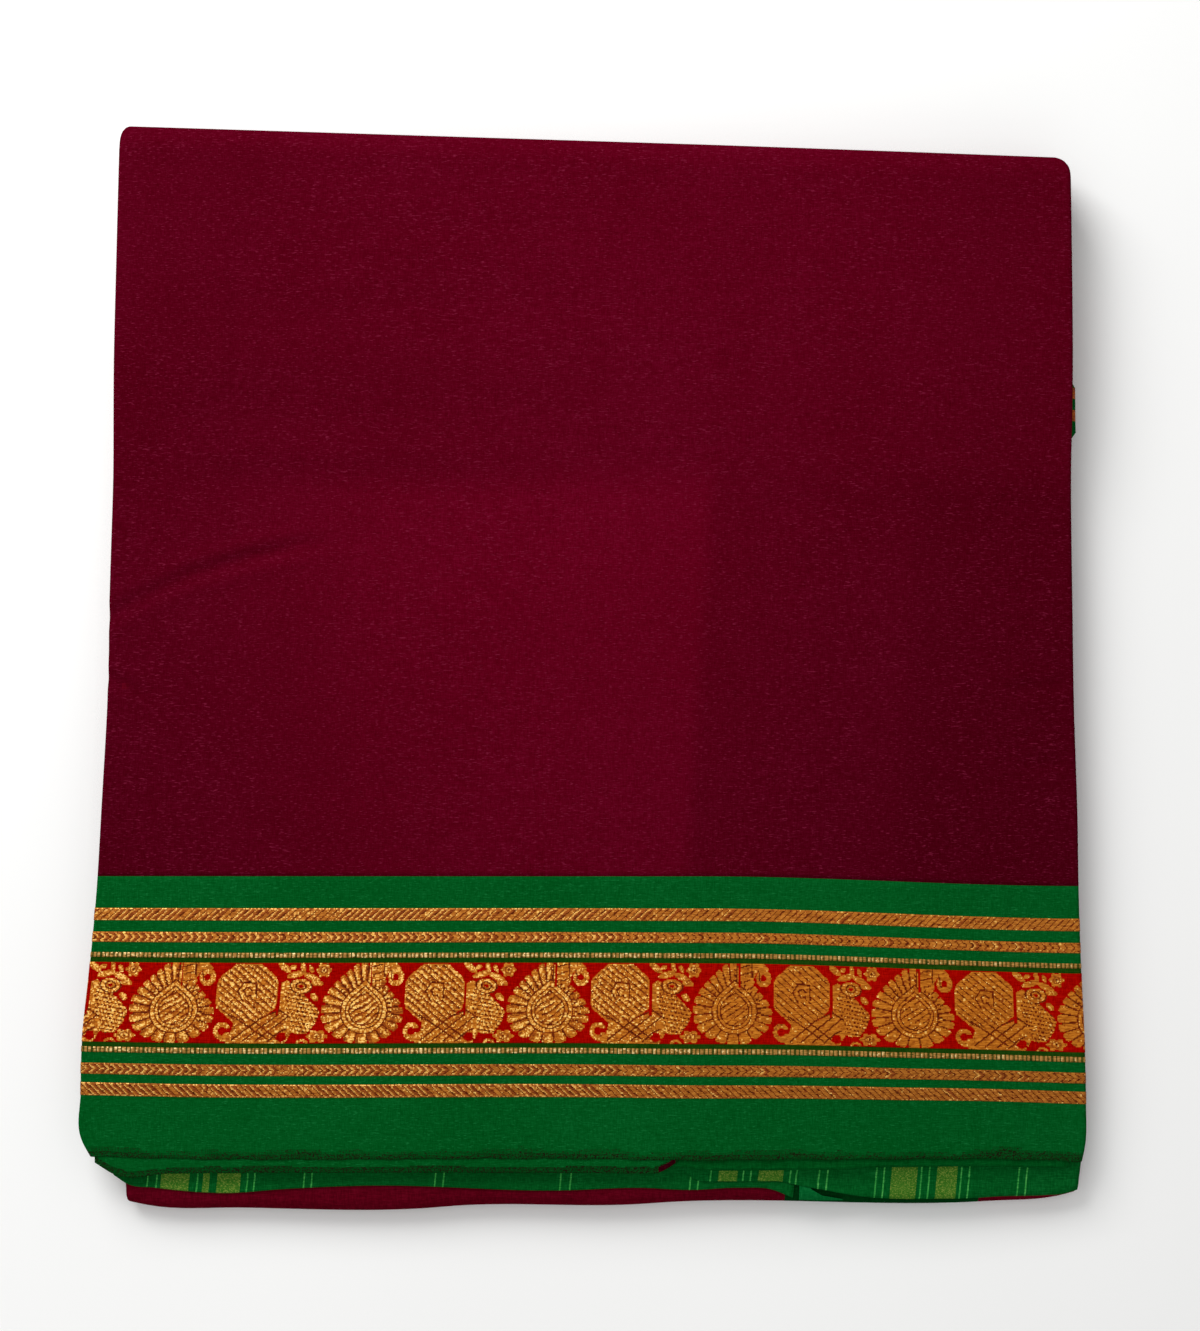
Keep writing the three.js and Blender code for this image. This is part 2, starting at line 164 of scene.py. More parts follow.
def crease_height(x, y):
    """Soft troughs and ridges of the top, fading out at their ends."""
    total = np.zeros(np.broadcast(x, y).shape)
    for depth, width, points in CREASES:
        pts = np.array(points, float)
        lengths = np.linalg.norm(np.diff(pts, axis=0), axis=1)
        run = np.concatenate([[0], np.cumsum(lengths)])
        nearest = np.full(total.shape, 1e9)
        place = np.zeros(total.shape)
        for k, (a, b) in enumerate(zip(pts[:-1], pts[1:])):
            d = b - a
            w = np.clip(((x - a[0]) * d[0] + (y - a[1]) * d[1]) / (d @ d), 0, 1)
            away = np.hypot(x - a[0] - w * d[0], y - a[1] - w * d[1])
            closer = away < nearest
            nearest = np.where(closer, away, nearest)
            place = np.where(closer, (run[k] + w * lengths[k]) / run[-1], place)
        ends = np.minimum(fade(-0.02, 0.25, place), 1 - fade(0.7, 1.02, place))
        swell = 0.8 + 0.2 * np.sin(9 * place + depth * 20)
        ridge = np.exp(-((nearest / width) ** 2)) - 0.35 * np.exp(-((nearest / width - 2.2) ** 2))
        total -= depth * ends * swell * ridge
    return total


def slope_share(x, y):
    """Share of the height that is left beside the old fold lines."""
    start, end, keep = SLOPE_FADE
    strength = mix(1, keep, fade(start, end, y))
    lost = 0
    for k in range(len(SLOPES["x"])):
        line = {name: column[k] for name, column in SLOPES.items()}
        past = line["side"] * (x - line["x"] - line["lean"] * y)
        lost = lost + line["share"] * strength * (past + np.hypot(past, SLOPE_SOFTNESS)) / 2
    return 1 - lost


def pile_top(x, y):
    return along(PILE, "y", "z", y) * slope_share(x, y)


def far_y(x):
    return FAR_EDGE + FAR_SLOPE * x


def far_radius(x):
    return pile_top(x, far_y(x)) / 2


def far_start(x):
    return far_y(x) - far_radius(x)


def near_height(x):
    return NEAR_FOLD_SHARE * pile_top(x, UPPER["y"][0])


def near_start(x):
    return along(NEAR_FOLD_EDGE, "x", "y", x) + near_height(x) / 2


def below_top(y):
    """Share of the height under the top part."""
    share = mix(NEAR_FOLD_SHARE, 2 / 3, fade(-165, -120, y))
    return mix(share, 1 - 1 / FAR_PARTS, fade(*FAR_STEP, y))


def part_share(y):
    """Share of the height that each part under the top one takes."""
    return below_top(y) * mix(1 / 2, 1 / (FAR_PARTS - 1), fade(*FAR_STEP, y))


def selvedge_y(x):
    return along(TOP_SELVEDGE, "x", "y", x)


def join_y(x):
    return JOIN - JOIN_DROOP * fade(40, 169, x)


def straight_y(stage, t, x):
    """Y on the straight stages of the fold path, at a share t of the stage."""
    ends = {
        "border": (selvedge_y, join_y),
        "ground": (join_y, far_start),
        "floor": (far_start, FLOOR_SEAM),
        "near floor": (FLOOR_SEAM, near_start),
        "lower": (near_start, far_start),
        "inner": (far_start, HIDDEN_SELVEDGE),
    }[stage]
    start, end = (e(x) if callable(e) else e for e in ends)
    y = mix(start, end, t)
    if stage == "border":
        share = np.clip(t, 0, 1)
        y = y - BAND_DROOP * fade(30, 169, x) * 4 * share * (1 - share)
        y = y + 0.3 * wander(5, x, 7) * (1 - share) ** 12
    return y


def layer_point(stage, t, x, i):
    """A point of a layer, where i counts layers inwards from the outer surface, and the pitch."""
    t, x, i = np.broadcast_arrays(np.asarray(t, float), x, i)
    if stage in ("border", "ground"):
        y = straight_y(stage, t, x)
        top = pile_top(x, y)
        pitch = top * (1 - below_top(y)) / LAYERS
        lift = crease_height(x, y) * np.clip(1 - i / LAYERS, 0, 1)
        return np.stack([x, y, top - i * pitch + lift], -1), pitch
    if stage in ("floor", "near floor", "lower", "inner"):
        y = straight_y(stage, t, x)
        top = pile_top(x, np.maximum(y, UPPER["y"][0]))
        share = part_share(y)
        pitch = top * share / LAYERS
        z = i * pitch
        if stage == "lower":
            z = 2 * share * top - i * pitch
        if stage == "inner":
            z = 2 * share * top + i * pitch
        return np.stack([x, y, z], -1), pitch
    turn = math.pi * t
    if stage == "near":
        height = near_height(x)
        pitch = height / 2 / LAYERS
        z = mix(height - i * pitch, i * pitch, (1 + np.cos(turn)) / 2)
        y = near_start(x) - (height / 2 - i * pitch) * np.sin(turn)
        return np.stack([x, y, z], -1), pitch
    start, radius = far_start(x), far_radius(x)
    top = pile_top(x, start)
    pitch = 2 * radius / FAR_PARTS / LAYERS
    if stage == "far":
        z = mix(i * pitch, top - i * pitch, (1 + np.cos(turn)) / 2)
        return np.stack([x, start + (radius - i * pitch) * np.sin(turn), z], -1), pitch
    z = top / 2 - i * pitch * np.cos(turn)
    return np.stack([x, start + i * pitch * np.sin(turn), z], -1), pitch


def edges(stage, t):
    """X of the left and right sides of the bundle there."""
    if stage == "far":
        turned = np.sin(math.pi * t) ** 4
        return tuple(
            UPPER[side][-1] + sign * CORNER_INSET[side] * turned
            for side, sign in (("left", 1), ("right", -1))
        )
    if stage in ("near", "crease"):
        row = 0 if stage == "near" else -1
        return LOWER["left"][row], LOWER["right"][row]
    y = straight_y(stage, t, 0.0)
    outline = UPPER if stage in ("border", "ground") else LOWER
    return along(outline, "y", "left", y), along(outline, "y", "right", y)


def fold_radius(stage, t, x, pair):
    pitch = layer_point(stage, t, x, 0.0)[1]
    return float(pitch) * (pair[1] - pair[0]) / 2


def side_fold(stage, t, edge, pair, sign, arc, leg, off):
    """Points of a layer folding over at a side: arc runs from 0 to 1 round the fold, leg is the
    distance in from it, and off the distance outwards from the middle of the layer."""
    radius = fold_radius(stage, t, edge, pair)
    pitch = 2 * radius / (pair[1] - pair[0])
    middle, half = (pair[0] + pair[1] - 1) / 2, (pair[1] - pair[0]) / 2
    turn = math.pi * arc
    x = edge + sign * (CLOTH / 2 + radius + leg - (radius + off) * np.sin(turn))
    i = middle - (half + off / pitch) * np.cos(turn)
    return layer_point(stage, t, x, i)[0]


def outer_row(stage, t, s, off):
    """Points of the top layer across one row. s is the distance across the flat cloth from where
    the left fold starts, and off the distance outwards from the middle of the layer."""
    left, right = edges(stage, t)
    pairs = {side: (1, OUTER_FOLD[side]) for side in ("left", "right")}
    r = {side: fold_radius(stage, t, x, pairs[side]) for side, x in zip(pairs, (left, right))}
    a, b = left + CLOTH / 2 + r["left"], right - CLOTH / 2 - r["right"]
    points = np.zeros((len(s), 3))
    flat = (s >= 0) & (s <= WIDTH)
    x = mix(a, b, s[flat] / WIDTH)
    pitch = layer_point(stage, t, x, 0.0)[1]
    points[flat] = layer_point(stage, t, x, 0.5 - off / pitch)[0]
    for side, sign, edge, past in (("left", 1, left, -s), ("right", -1, right, s - WIDTH)):
        out = past > 0
        turned = past[out] / (math.pi * r[side])
        leg = np.maximum(past[out] - math.pi * r[side], 0)
        points[out] = side_fold(
            stage, t, edge, pairs[side], sign, np.minimum(turned, 1), leg, off
        )
    return points


def grid_quads(rows, columns):
    """Numbers of a grid's points, and the quads between them."""
    index = np.arange(rows * columns).reshape(rows, columns)
    quads = np.stack([index[:-1, :-1], index[:-1, 1:], index[1:, 1:], index[1:, :-1]], -1)
    return index, quads.reshape(-1, 4)


def shell(outer, inner, faces=None):
    """A closed thin wall between two grids of points. faces gives each outer face's material."""
    index, grid = grid_quads(*outer.shape[:2])
    count = index.size
    loop = np.concatenate([index[0, :-1], index[:-1, -1], index[-1, :0:-1], index[:0:-1, 0]])
    after = np.roll(loop, -1)
    rim = np.stack([loop, loop + count, after + count, after], -1)
    quads = np.concatenate([grid, grid[:, ::-1] + count, rim])
    of_face = np.zeros(len(quads), np.int32)
    if faces is not None:
        painted = np.asarray(faces, np.int32).ravel()
        of_face[: len(grid)] = painted
        of_face[len(grid) : 2 * len(grid)] = painted
    points = np.concatenate([outer.reshape(-1, 3), inner.reshape(-1, 3)])
    return points, quads, of_face


def make(name, parts, materials):
    """One mesh object from several (points, quads, material numbers)."""
    start, all_points, all_quads, all_faces = 0, [], [], []
    for points, quads, of_face in parts:
        all_points.append(points)
        all_quads.append(quads + start)
        all_faces.append(of_face)
        start += len(points)
    points, quads = np.concatenate(all_points) * MM, np.concatenate(all_quads)
    mesh = bpy.data.meshes.new(name)
    mesh.vertices.add(len(points))
    mesh.vertices.foreach_set("co", points.astype(np.float32).ravel())
    mesh.loops.add(quads.size)
    mesh.loops.foreach_set("vertex_index", quads.astype(np.int32).ravel())
    mesh.polygons.add(len(quads))
    mesh.polygons.foreach_set("loop_start", np.arange(0, quads.size, 4, dtype=np.int32))
    mesh.polygons.foreach_set("loop_total", np.full(len(quads), 4, np.int32))
    for m in materials:
        mesh.materials.append(m)
    mesh.polygons.foreach_set("material_index", np.concatenate(all_faces).astype(np.int32))
    mesh.polygons.foreach_set("use_smooth", np.ones(len(quads), bool))
    mesh.update(calc_edges=True)
    mesh.validate()
    obj = bpy.data.objects.new(name, mesh)
    bpy.context.scene.collection.objects.link(obj)
    return obj


def wander(seed, v, reach=40.0):
    """A slow smooth wave along v, from -1 to 1, different for each seed."""
    phases = np.random.default_rng(seed).uniform(0, 2 * math.pi, 3)
    waves = (0.5, 1.0), (0.3, 2.3), (0.2, 5.1)
    return sum(a * np.sin(2 * math.pi * f * v / reach / 3 + p) for (a, f), p in zip(waves, phases))


def steps(*stages):
    """Places along the fold path: each stage cut into a number of equal steps."""
    path = []
    for stage, count in stages:
        path += [(stage, t) for t in np.linspace(0, 1, count + 1)[1 if path else 0 :]]
    return path


def middles(v):
    return (v[:-1] + v[1:]) / 2


def cloth_columns(pitch):
    """Distances across the flat cloth, closer together at the folds of its sides."""
    past = []
    for radius in (1.25, 1.6):
        arc = math.pi * radius
        turn = np.linspace(0, 1, 9)[1:] * arc
        past.append(np.concatenate([turn, [arc + 2, arc + LEG / 2, arc + LEG]]))
    edge = np.array([0.6, 1.4, 2.6, 4.2])
    middle = np.linspace(6, WIDTH - 6, int((WIDTH - 12) / pitch) + 1)
    return np.concatenate(
        [-past[0][::-1], [0], edge, middle, WIDTH - edge[::-1], [WIDTH], WIDTH + past[1]]
    )


def cloth_grid(path, s, off):
    return np.stack([outer_row(stage, t, s, off) for stage, t in path])


def cloth(name, path, pitch, materials, paint=None):
    s = cloth_columns(pitch)
    outer, inner = cloth_grid(path, s, CLOTH / 2), cloth_grid(path, s, -CLOTH / 2)
    faces = paint(path, s) if paint else None
    return make(name, [shell(outer, inner, faces)], materials)


def border_faces(path, s):
    """1 for the selvedge, where weft threads of the ground turn, 2 where it fades, 3 for the lines
    beside the figured band, and 0 for the cloth beyond."""
    shares = np.array([t for _, t in path])
    away = (middles(shares) * border_length())[:, None]
    middle = middles(s)[None, :]
    zone = 1.7 + 0.7 * wander(12, middle, 25) - 0.7 * fade(230, 290, middle)
    zone = zone + 1.6 * fade(292, 306, middle)
    fading = zone + 1.3 + 0.6 * wander(13, middle, 9)
    kinds = np.where(away < zone, 1, np.where(away < fading, 2, 0))
    for start, end in FIGURE_LINES:
        kinds[((away > start) & (away < end))[:, 0]] = 3
    return kinds


def near_faces(path, s):
    """1 for the green stretch of the lowest layer beside the turned corner, painted dark as painted
    shade and reaching left into the shadowed slit by the left end piece, and 0 for maroon.
    """
    left, right = edges("near", 0.5)
    x = left + middles(s)[None, :] * (right - left) / WIDTH
    front = np.array([stage in ("near", "lower") for stage, _ in path[1:]])[:, None]
    return (front & (x > GREEN_STRETCH[0]) & (x < GREEN_STRETCH[1])).astype(int)


# Bands of the border: distance from the selvedge in the flat cloth
BANDS = table(
    "start end kind", (20.7, 25.0, 0), (27.9, 31.6, 1), (35.3, 37.1, 2), (38.7, 65.5, 3),
    (67.2, 68.8, 2), (72.3, 75.7, 1), (79.6, 83.7, 0),
)
BAND_NAMES = (
    "lower_rope", "lower_chevron", "lower_beads", "motif_band", "upper_beads", "upper_chevron",
    "upper_rope",
)
# Kinds of cell of the gold weft: the darker gold is mostly painted shade on the relief of the floats,
# with some brown dashes of the pattern, and the brightest is painted highlight; the dark kind is the
# woven dark lines and gaps
RED, DARK, BROWN_AND_PAINTED_SHADE, GOLD, PAINTED_HIGHLIGHT = range(5)
FIGURE_LINES = ((37.1, 38.7), (65.5, 67.2))  # green beside the figured band, from the selvedge
GREEN_STRETCH = (69.0, 134)  # X of the green stretch of the lowest layer, in painted shade; it starts far enough left to darken the shadowed slit by the left end piece
REPEAT = 63.7
CHART_HEIGHT = 24.9  # of the charted figures, which the band takes up whole
MANGO_STARTS = np.array([-217.6, -154.2, -89.2, -26.5, 36.4, 96.7, 160.2, 223.8])  # X of repeats
BEAD = 1.45  # pitch of the beads
RAISED = 0.14  # height of the gold weft over the cloth
SUNK = 0.06  # depth of its underside in the cloth
BAND_ENDS = (9.0, 11.0)  # how far a band goes round the folds at the left and at the right


def cycle(v):
    return v - np.floor(v)


def speckle(u, v, seed=0.0):
    """A fixed pseudo-random share for each cell."""
    return cycle(np.sin(u * 12.9898 + v * 78.233 + seed * 37.7) * 43758.5453)


def ring(u, v, cu, cv, r_in, r_out):
    """Which cells lie in a ring."""
    d = np.hypot(u - cu, v - cv)
    return (d >= r_in) & (d <= r_out)


def ellipse(u, v, cu, cv, a, b, tilt):
    """Distance from the middle of an ellipse, 1 at its edge."""
    c, s = math.cos(math.radians(tilt)), math.sin(math.radians(tilt))
    p, q = (u - cu) * c + (v - cv) * s, -(u - cu) * s + (v - cv) * c
    return np.hypot(p / a, q / b)


def inside(u, v, *corners):
    """Which cells lie in a polygon."""
    found = np.zeros(u.shape, bool)
    for (a, b), (c, d) in zip(corners, corners[1:] + corners[:1]):
        if b != d:
            found ^= ((b > v) != (d > v)) & (u < a + (v - b) * (c - a) / (d - b))
    return found


def stroke(u, v, a, b, half=0.25):
    """Which cells lie on a straight line from a to b."""
    du, dv = b[0] - a[0], b[1] - a[1]
    w = np.clip(((u - a[0]) * du + (v - a[1]) * dv) / (du * du + dv * dv), 0, 1)
    return np.hypot(u - a[0] - w * du, v - a[1] - w * dv) < half


def scatter(out, u, v, shine):
    """Gives a function that turns some cells of a region to a kind, mostly painted highlight or painted
    shade:
    a share of least, and more where the gold shines."""
    def dab(where, kind, seed, least, more):
        out[where & (speckle(u, v, seed) < least + more * shine)] = kind
    return dab


MANGO_MIDDLE = (14.8, 10.2)
# Outline of the mango round the middle of its teardrop, by the angle clockwise from the top, and
# the angles of the middles of its petals
MANGO_REACH = table(
    "angle reach", (-180, 10.6), (-150, 11.0), (-136, 12.0), (-120, 13.6), (-103, 14.7),
    (-90, 14.8), (-78, 14.8), (-64, 14.0), (-51, 13.5), (-38, 13.4), (-26, 13.7), (-11, 14.8),
    (0, 15.0), (24, 16.2), (33, 12.2), (45, 10.5), (63, 11.0), (79, 12.5), (91, 13.5),
    (101, 13.6), (113, 13.2), (130, 12.0), (150, 11.0), (180, 10.6),
)
PETAL_ANGLES = np.array([
    -177, -151, -131, -114, -101, -88, -75, -62, -50, -38, -26, -14, -2, 10, 22, 34, 47, 62, 77, 90,
    103, 116, 132, 156, 183,
])


def mango(u, v, out, shine):
    """A paisley: a teardrop with a double outline, set in a wreath of petals."""
    dab = scatter(out, u, v, shine)
    du, dv = u - MANGO_MIDDLE[0], v - MANGO_MIDDLE[1]
    degrees = np.degrees(np.arctan2(du, dv))
    far = np.hypot(du, dv)
    place = np.interp(degrees, PETAL_ANGLES, np.arange(len(PETAL_ANGLES)))
    petal = cycle(place + 0.5) - 0.5
    number = np.floor(place + 0.5) % (len(PETAL_ANGLES) - 1)
    broad = np.radians(np.interp(place, np.arange(len(PETAL_ANGLES)), np.gradient(PETAL_ANGLES)))
    edge = np.interp(degrees, MANGO_REACH["angle"], MANGO_REACH["reach"])
    edge = edge * (1 - 0.08 * np.abs(2 * petal) ** 4)
    wreath = far < edge
    out[wreath] = GOLD
    # Painted highlight down the middle of each petal and painted shade on one side; on the wreath's
    # right, away from the light, highlights and gold turn to painted shade
    fold = petal + 0.06 * np.sin(number * 1.7)
    dab(wreath & (np.abs(fold + 0.14) < 0.15) & (edge - far > 0.8) & (far > 8), PAINTED_HIGHLIGHT, 3, 0, 1)
    dab(wreath & (fold > 0.2), BROWN_AND_PAINTED_SHADE, 4, 0, 1)
    away = (0.5 - np.abs(petal)) * broad * far
    out[wreath & (away < 0.25)] = DARK
    out[wreath & (away < 0.4) & (edge - far < 0.5)] = RED
    away_from_light = wreath & (degrees > 12) & (degrees < 130)
    dab(away_from_light & (out == PAINTED_HIGHLIGHT), BROWN_AND_PAINTED_SHADE, 32, 0, 0.75)
    dab(away_from_light & (out == GOLD), BROWN_AND_PAINTED_SHADE, 5, 0, 0.5)
    # Blocks beside the stem
    blocks = inside(u, v, (16.9, 25.5), (20.9, 25.5), (20.9, 21.5), (20.2, 18.6), (17.2, 17.2))
    out[blocks] = GOLD
    out[blocks & (cycle((v - 0.25 * u) / 2.4) < 0.18)] = DARK
    # Teardrop
    tu, tv = du / 7.75, dv / 6.9
    lean = np.abs(np.arctan2(tu, tv))
    tangent = math.acos(1 / 1.34)
    limit = 1 / np.cos(np.clip(tangent - lean, 0, tangent))
    share = np.hypot(tu, tv) / limit * 7.75
    around = np.arctan2(tu, tv) * 7.6
    dots = (share > 8.2) & (share < 11.0) & (degrees > -62) & (degrees < 4)
    out[dots & (cycle(share / 1.5) < 0.45) & (cycle(around / 1.35) < 0.45)] = DARK
    beads = (share > 8.3) & (share < 9.5) & (degrees > 14) & (degrees < 112)
    out[beads] = GOLD
    dab(beads, PAINTED_HIGHLIGHT, 9, 0, 0.4)
    out[beads & (cycle(around / 1.35) < 0.4)] = DARK
    out[share < 8.2] = DARK
    out[share < 7.75] = GOLD
    # The rings and core of the teardrop get painted highlights and painted shade as well
    dab((share < 7.6) & (share > 6.7) & (cycle(around / 1.4) < 0.7), PAINTED_HIGHLIGHT, 6, 0.15, 0.85)
    out[share < 6.5] = DARK
    out[share < 6.1] = GOLD
    dab((share < 6.0) & (share > 5.5) & (cycle(around / 1.9) < 0.6), PAINTED_HIGHLIGHT, 31, 0.1, 0.5)
    out[share < 5.3] = DARK
    core = share < 4.9
    rise = dv - 0.62 * du + 0.3 * np.sin(du * 0.9 + 1.0) * (0.3 + shine)
    line, lit = cycle(rise / 1.9), 0.5 + 0.5 * np.sin(0.75 * du + 2.1 * np.floor(rise / 1.9))
    out[core] = GOLD
    dab(core & (line < 0.45) & (lit > 0.2), PAINTED_HIGHLIGHT, 7, 0.06, 0.9)
    dab(core & (line > 0.55), BROWN_AND_PAINTED_SHADE, 8, 0, 1)
    out[core & (line > 0.77) & (lit < 0.93)] = DARK
    # Stem, and the hook curl at the upper right
    out[(np.abs(u - 16.6) < 0.3) & (v > 17.4)] = RED
    hook = (20.2, 25.5), (24.6, 25.5), (27.0, 23.2), (24.4, 21.4), (22.4, 20.0), (21.0, 21.0)
    out[inside(u, v, *hook)] = GOLD
    out[stroke(u, v, (21.0, 25.0), (21.2, 20.6))] = DARK
    out[inside(u, v, (21.6, 20.4), (23.2, 19.0), (24.0, 21.2), (23.0, 22.4))] = RED
    out[ring(u, v, 25.2, 20.4, 0, 2.7)] = GOLD
    dab(ring(u, v, 25.2, 20.4, 1.5, 2.7), PAINTED_HIGHLIGHT, 10, 0, 0.4)
    out[ring(u, v, 25.1, 20.4, 0, 1.05)] = RED
    out[stroke(u, v, (23.4, 22.7), (23.9, 19.3), 0.2)] = DARK


def floret(u, v, out, cu, cv, wide, high):
    """A small flower of six petals, seen from the front."""
    du, dv = (u - cu) / wide, (v - cv) / high
    d, turn = np.hypot(du, dv), np.arctan2(dv, du)
    shape = d < 0.74 + 0.26 * np.cos(3 * turn) ** 2
    out[shape] = GOLD
    # Painted highlights in the middle of the flower
    out[shape & (d < 0.55) & (speckle(u, v, 12) < 0.4)] = PAINTED_HIGHLIGHT
    out[shape & (np.abs(d - 0.42) < 0.09)] = BROWN_AND_PAINTED_SHADE
    out[np.hypot(u - cu, v - cv) < 0.4] = DARK


def peacock(u, v, out, shine):
    """A bird with a round fan, crossing tail bands, a dotted body and a crested head."""
    # Here and below, the brightest gold cells are painted highlights and the darker gold ones painted
    # shade, more of them where the gold shines
    dab = scatter(out, u, v, shine)
    # Fan
    du, dv = u - 38.8, v - 15.6
    shape = np.maximum.reduce([
        np.abs(du) / 10.1, dv / 9.1, (np.abs(du) + 1.3 * np.abs(dv)) / 15.8,
        np.hypot(du / 10.7, np.maximum(dv, -4) / 9.7),
    ])
    fan = shape < 1
    rise = dv + 0.76 * du
    lines = cycle(rise / 2.15)
    beads = cycle((du - 0.76 * dv) / 1.6 + 0.5 * np.floor(rise / 2.15))
    out[fan] = GOLD
    dab(fan & (lines < 0.45) & (beads < 0.6), PAINTED_HIGHLIGHT, 13, 0.08, 0.85)
    dab(fan & (lines > 0.5), BROWN_AND_PAINTED_SHADE, 14, 0, 0.9)
    out[fan & (lines > 0.8)] = DARK
    out[fan & (shape > 0.955)] = GOLD
    for a, b in (
        ((36.0, 16.2), (37.8, 18.4)), ((37.8, 18.4), (41.2, 18.0)), ((41.2, 18.0), (41.4, 14.2)),
        ((36.0, 16.2), (37.6, 13.6)), ((38.4, 16.6), (39.2, 14.6)), ((38.4, 16.6), (40.0, 16.6)),
    ):
        out[stroke(u, v, a, b, 0.75)] = GOLD
        dab(stroke(u, v, a, b, 0.6), PAINTED_HIGHLIGHT, 33, 0, 0.5)
    for a, b in (
        ((35.6, 16.2), (37.6, 18.9)), ((37.6, 18.9), (41.7, 18.5)), ((41.7, 18.5), (41.9, 14.0)),
        ((35.6, 16.2), (37.6, 13.0)), ((37.6, 16.6), (38.9, 17.4)), ((38.9, 17.4), (40.4, 16.4)),
        ((37.6, 16.6), (38.4, 14.6)), ((38.4, 14.6), (40.0, 14.8)),
    ):
        out[stroke(u, v, a, b, 0.26)] = DARK
    # Throat of the fan and the tail bands
    throat = inside(u, v, (35.2, 7.6), (35.0, 5.6), (34.2, 3.2), (32.2, 0.9), (33.4, -0.5),
                    (52.0, -0.5), (54.5, 3.6), (56.0, 9.0), (50.2, 10.0), (45.0, 8.0), (42.0, 6.0))
    throat &= ~inside(u, v, (49.0, 1.6), (50.4, 3.4), (52.4, 3.2), (53.0, 1.2), (51.0, 0.4))
    out[throat] = GOLD
    slant = cycle((v - 0.69 * u) / 2.4)
    dab(throat & (slant < 0.35) & (cycle((u + v) / 1.5) < 0.5), PAINTED_HIGHLIGHT, 15, 0.05, 0.85)
    dab(throat & (slant > 0.6), BROWN_AND_PAINTED_SHADE, 17, 0, 0.8)
    for a, b in (
        ((33.9, 0.4), (44.4, 8.1)), ((38.6, 0.9), (49.6, 8.9)), ((42.6, 0.8), (53.4, 8.6)),
        ((46.6, 0.6), (50.4, 3.6)), ((34.0, 8.8), (46.4, 1.4)), ((41.0, 7.4), (49.0, 2.0)),
        ((44.6, 8.2), (49.8, 10.2)), ((49.8, 10.2), (53.6, 8.4)), ((50.4, 3.6), (55.0, 5.6)),
    ):
        out[stroke(u, v, a, b)] = DARK
    out[(v < 0.4) & (u > 39) & (u < 50.5)] = GOLD
    # Body
    body = inside(u, v, (49.8, 10.3), (49.8, 18.6), (51.7, 19.5), (54.8, 17.8), (57.3, 15.8),
                  (61.2, 12.6), (63.2, 9.6), (62.2, 6.4), (59.6, 3.2), (56.4, 2.8), (53.4, 3.8),
                  (52.0, 5.8), (53.2, 8.2))
    out[stroke(u, v, (49.2, 9.0), (49.2, 25.0), 0.4)] = RED
    out[body] = GOLD
    dotted = body & (u > 51.0 + 0.35 * np.abs(v - 14.0))
    row = np.floor((v + 0.18 * u) / 1.2)
    across, down = cycle(u / 1.35 + 0.5 * row), cycle((v + 0.18 * u) / 1.2)
    out[dotted & (down > 0.62) & (across > 0.35)] = DARK
    dab(dotted & (down < 0.5) & (across < 0.6), PAINTED_HIGHLIGHT, 18, 0.1, 0.8)
    out[stroke(u, v, (49.8, 10.4), (53.3, 8.3))] = DARK
    # Head, eye, beak and crest
    out[inside(u, v, (57.4, 15.2), (62.8, 10.6), (63.6, 12.4), (60.6, 16.4))] = RED
    face = ellipse(u, v, 56.5, 17.8, 3.3, 2.2, -6)
    out[(face < 1.16) & (v < 19.5)] = DARK
    out[face < 1] = GOLD
    dab((face < 1) & (face > 0.6), PAINTED_HIGHLIGHT, 34, 0.12, 0.5)
    out[(face < 0.6) & (face > 0.42)] = DARK
    out[face < 0.24] = RED
    for cu, cv, p, q, tilt in (
        (60.0, 20.4, 3.2, 1.0, -24), (61.9, 18.6, 2.0, 0.9, -6), (61.2, 14.3, 1.6, 0.95, -38),
        (54.6, 21.3, 3.0, 1.0, 14), (50.8, 23.4, 2.5, 1.0, -34), (56.9, 23.4, 1.9, 0.75, -80),
        (53.6, 23.6, 1.1, 0.7, 10), (59.6, 23.0, 1.3, 0.7, -60),
    ):
        petal = ellipse(u, v, cu, cv, p, q, tilt)
        out[petal < 1] = GOLD
        dab(petal < 0.6, PAINTED_HIGHLIGHT, 19, 0.12, 0.6)
    # Curl under the fan, florets and scrolls
    out[ring(u, v, 31.4, 3.8, 1.3, 2.75) & ~((u > 31.8) & (v > 3.3) & (v < 4.7))] = GOLD
    dab(ring(u, v, 31.4, 3.8, 1.9, 2.75) & (u < 32), PAINTED_HIGHLIGHT, 35, 0.1, 0.5)
    out[inside(u, v, (31.0, 2.4), (31.2, 0.8), (34.6, 0.2), (34.8, 2.2))] = GOLD
    for cu, cv, wide, high in (
        (0.2, 22.7, 2.7, 2.4), (63.9, 22.7, 2.7, 2.4), (62.9, 2.2, 3.7, 2.1), (-0.8, 2.2, 3.7, 2.1),
    ):
        floret(u, v, out, cu, cv, wide, high)
    out[ring(u, v, 58.0, -0.9, 1.5, 2.3)] = GOLD


def painted_shine_at(s):
    """Share of painted highlight and shade on the gold weft: most at the left, where the light falls,
    and least of all at the right.
    """
    streaks = 0.5 + 0.5 * wander(41, s, 34)
    return fade(55, -25, s) * (0.45 + 0.55 * streaks)


def weave_motifs(s, v, height):
    """Kinds of the cells of the motif band, s across the cloth and v up from its lower edge."""
    out = np.full(s.shape, RED)
    u = cycle(np.interp(s, MANGO_STARTS, np.arange(len(MANGO_STARTS)))) * REPEAT
    rise = v * CHART_HEIGHT / height
    shine = painted_shine_at(s)
    peacock(u + REPEAT, rise, out, shine)
    mango(u, rise, out, shine)
    peacock(u, rise, out, shine)
    return glint(out, s, v, 11)


